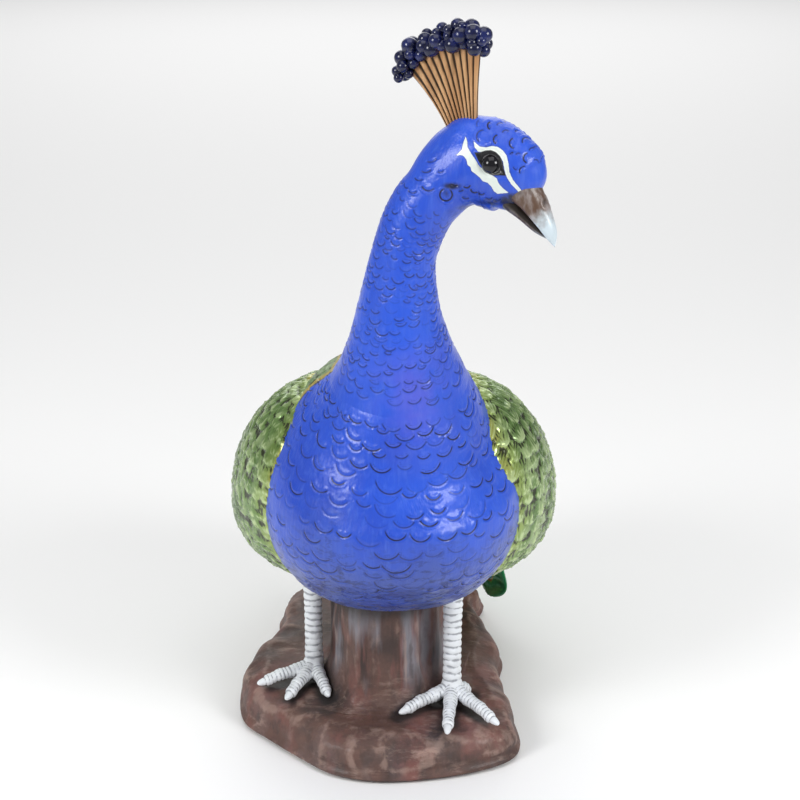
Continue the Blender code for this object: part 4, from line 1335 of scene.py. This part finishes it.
def earthPaint():
    paint = Paint("earthPaint", ground["brown"], 0.62, coat=0.08)
    upright = paint.read("upright")
    paint.layFrom(paint.noise(22, (1, 1.4, 1), 5, 0.6), 0.36, 0.70, ground["darkBrown"], 0.85)
    paint.layFrom(paint.noise(17, (1.3, 1, 0.8), 5, 0.6), 0.48, 0.66, ground["red"], 0.75)
    for noise, low, high, most, tone in (
        (paint.noise(46, (1.2, 1, 0.13), 4, 0.6), 0.44, 0.60, 0.85, "red"),
        (paint.noise(60, (1.3, 1, 0.10), 4, 0.6), 0.52, 0.64, 0.92, "darkBrown"),
        (paint.noise(30, (1.3, 1, 0.20), 4), 0.50, 0.64, 0.85, "grey"),
    ):
        paint.lay(paint.times(paint.ramp(noise, low, high, (0.0, most)), upright), ground[tone])
    strokes = paint.ramp(paint.noise(110, (0.35, 1.0, 1.3), 5, 0.7), 0.48, 0.70, (0.0, 0.75))
    strokes = paint.times(strokes, paint.combine("SUBTRACT", 1.05, upright))
    paint.lay(paint.times(strokes, paint.ramp(paint.noise(30), 0.35, 0.70)), ground["tan"])
    reliefShading = paint.ragged(paint.read("reliefShading"), 140, 0.5, (1, 1, 0.5), 4, (0.3, 0.7))
    # painted highlight on raised bumps and painted shade in the hollows
    paint.layFrom(reliefShading, 0.15, 1.30, ground["tan"], 0.40)
    paint.layFrom(reliefShading, -0.35, -1.40, ground["darkBrown"], 0.50)
    # painted shade in near-black round the toes, at the stump's foot, behind the legs and under the belly
    paint.lay(paint.read("paintedShade"), ground["black"])
    return paint.finish(paint.combine("ADD", paint.noise(90, (1, 1, 0.6), 5), paint.noise(300)), 0.0012, 0.45)


def groundSkin():
    shares = np.concatenate((shareOut(ground["rings"], ground["ringEdges"]), (1.0,)))
    angles = evenAngles(ground["columns"])
    outline = alongCurve(ground["outline"], (angles / fullTurn + 0.25) % 1.0, closed=True)
    profile = alongCurve(ground["profile"], shares)
    size = np.array((ground["width"], ground["depth"])) / 2
    wide = np.array(ground["middle"]) + outline[None] * size * profile[:, 0, None, None]
    folds = 1 + sum(depth * np.cos(count * angles + turn) for count, turn, depth in ground["folds"])
    ring = np.stack((np.cos(angles), np.sin(angles)), axis=1) * folds[:, None]
    trunk = np.array((ground["stumpWidth"], ground["stumpDepth"])) / 2 * ring
    narrow = np.array(ground["stumpMiddle"]) + trunk[None] * profile[:, 1, None, None]
    flat = wide + (narrow - wide) * np.clip(profile[:, 2, None, None], 0, 1)
    z = np.maximum(profile[:, 3:4], 0.0) + 0 * flat[..., 0]
    return Skin(np.concatenate((flat, z[..., None]), axis=-1), shares, angles)


def fromLimb(flat, start, end):
    # how far each point lies from a limb, as seen from above, in m
    ahead = end - start
    t = np.clip(((flat - start) @ ahead) / (ahead @ ahead), 0, 1)
    return np.linalg.norm(flat - start - t[..., None] * ahead, axis=-1)


def makeGround():
    skin = groundSkin()
    top = skin.places
    flat, z = top[..., :2], top[..., 2]
    upright = smoothStep(0.042, 0.075, z)
    above = smoothStep(0.002, 0.012, z)
    (barkHeight, barkSize, barkSeed), (chipHeight, chipSize, chipSeed) = ground["bark"], ground["chips"]
    bark = 1 - 2 * np.abs(cloud(top * np.array((1, 1, 0.16)), barkSize, barkSeed))
    chips = 1 - 2 * np.abs(cloud(top * np.array((1, 1, 1.4)), chipSize, chipSeed))
    lumps = sum(high * cloud(top, size, seed) for high, size, seed in ground["lumps"])
    rim = smoothStep(0.006, 0.016, z) * (1 - smoothStep(0.0335, 0.0352, z))
    skin.lift = above * (lumps * (1 - 0.6 * upright) + barkHeight * bark * upright + chipHeight * chips * rim)
    skin.lift = skin.lift - ground["sunk"] * above
    # painted shade at the stump's foot, round the toes, behind the legs and below the belly
    paintedShade = 0.30 * bell(z - ground["stumpFoot"], 0.004) * (1 - upright)
    level = (1 - smoothStep(0.045, 0.07, z)) * smoothStep(0.0305, 0.0335, z)
    for foot in ("left", "right"):
        for number, (start, end, radius) in enumerate(limbCentres(foot)):
            tip = start[:2] + 1e-4 if number == 0 else end[:2]
            away = fromLimb(flat, start[:2], tip) - radius * 0.7
            near = bell(np.maximum(away, 0), ground["toeShadeReach"]) * level
            paintedShade = np.maximum(paintedShade, 0.90 * near)
            skin.lift -= 1.0 * near * (np.abs(z - figure["groundTop"]) < 0.006)
    ankles = [limbCentres(foot)[0][0][:2] for foot in ("left", "right")]
    beside = np.minimum(*(np.linalg.norm(flat - ankle, axis=-1) for ankle in ankles))
    clear, reach = ground["legShade"]
    paintedShade = np.maximum(paintedShade, upright * 0.85 * bell(np.maximum(beside - clear, 0), reach))
    paintedShade = np.maximum(paintedShade, 0.8 * smoothStep(*ground["stumpShade"], z))
    skin.fields["paintedShade"], skin.fields["upright"] = paintedShade, 0.10 + 0.90 * upright
    markRelief(skin, 22)
    skin.build("groundAndStump", earthPaint(), "earth_brown")


# eyes

eye = {"columns": 48, "rings": 32, "black": (0.006, 0.006, 0.008)}


def makeEyes():
    paint = Paint("eyeGlass", eye["black"], 0.05, coat=0.35, shine=0.3).finish()
    for node, name in (("left_eye", "leftEyeBall"), ("right_eye", "rightEyeBall")):
        low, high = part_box(node)
        form = bmesh.new()
        bmesh.ops.create_uvsphere(form, u_segments=eye["columns"], v_segments=eye["rings"],
                                  radius=(high[2] - low[2]) / 2)
        bmesh.ops.translate(form, verts=form.verts, vec=(Vector(low) + Vector(high)) / 2)
        finishMesh(name, newMesh(name, form), paint, node)


makeStudio()
makePlumage()
makeBill()
green = greenPaint()
makeWings(green)
makeMantle(green)
makeTrain()
makeQuills()
makeBeads()
makeLegs()
makeGround()
makeEyes()
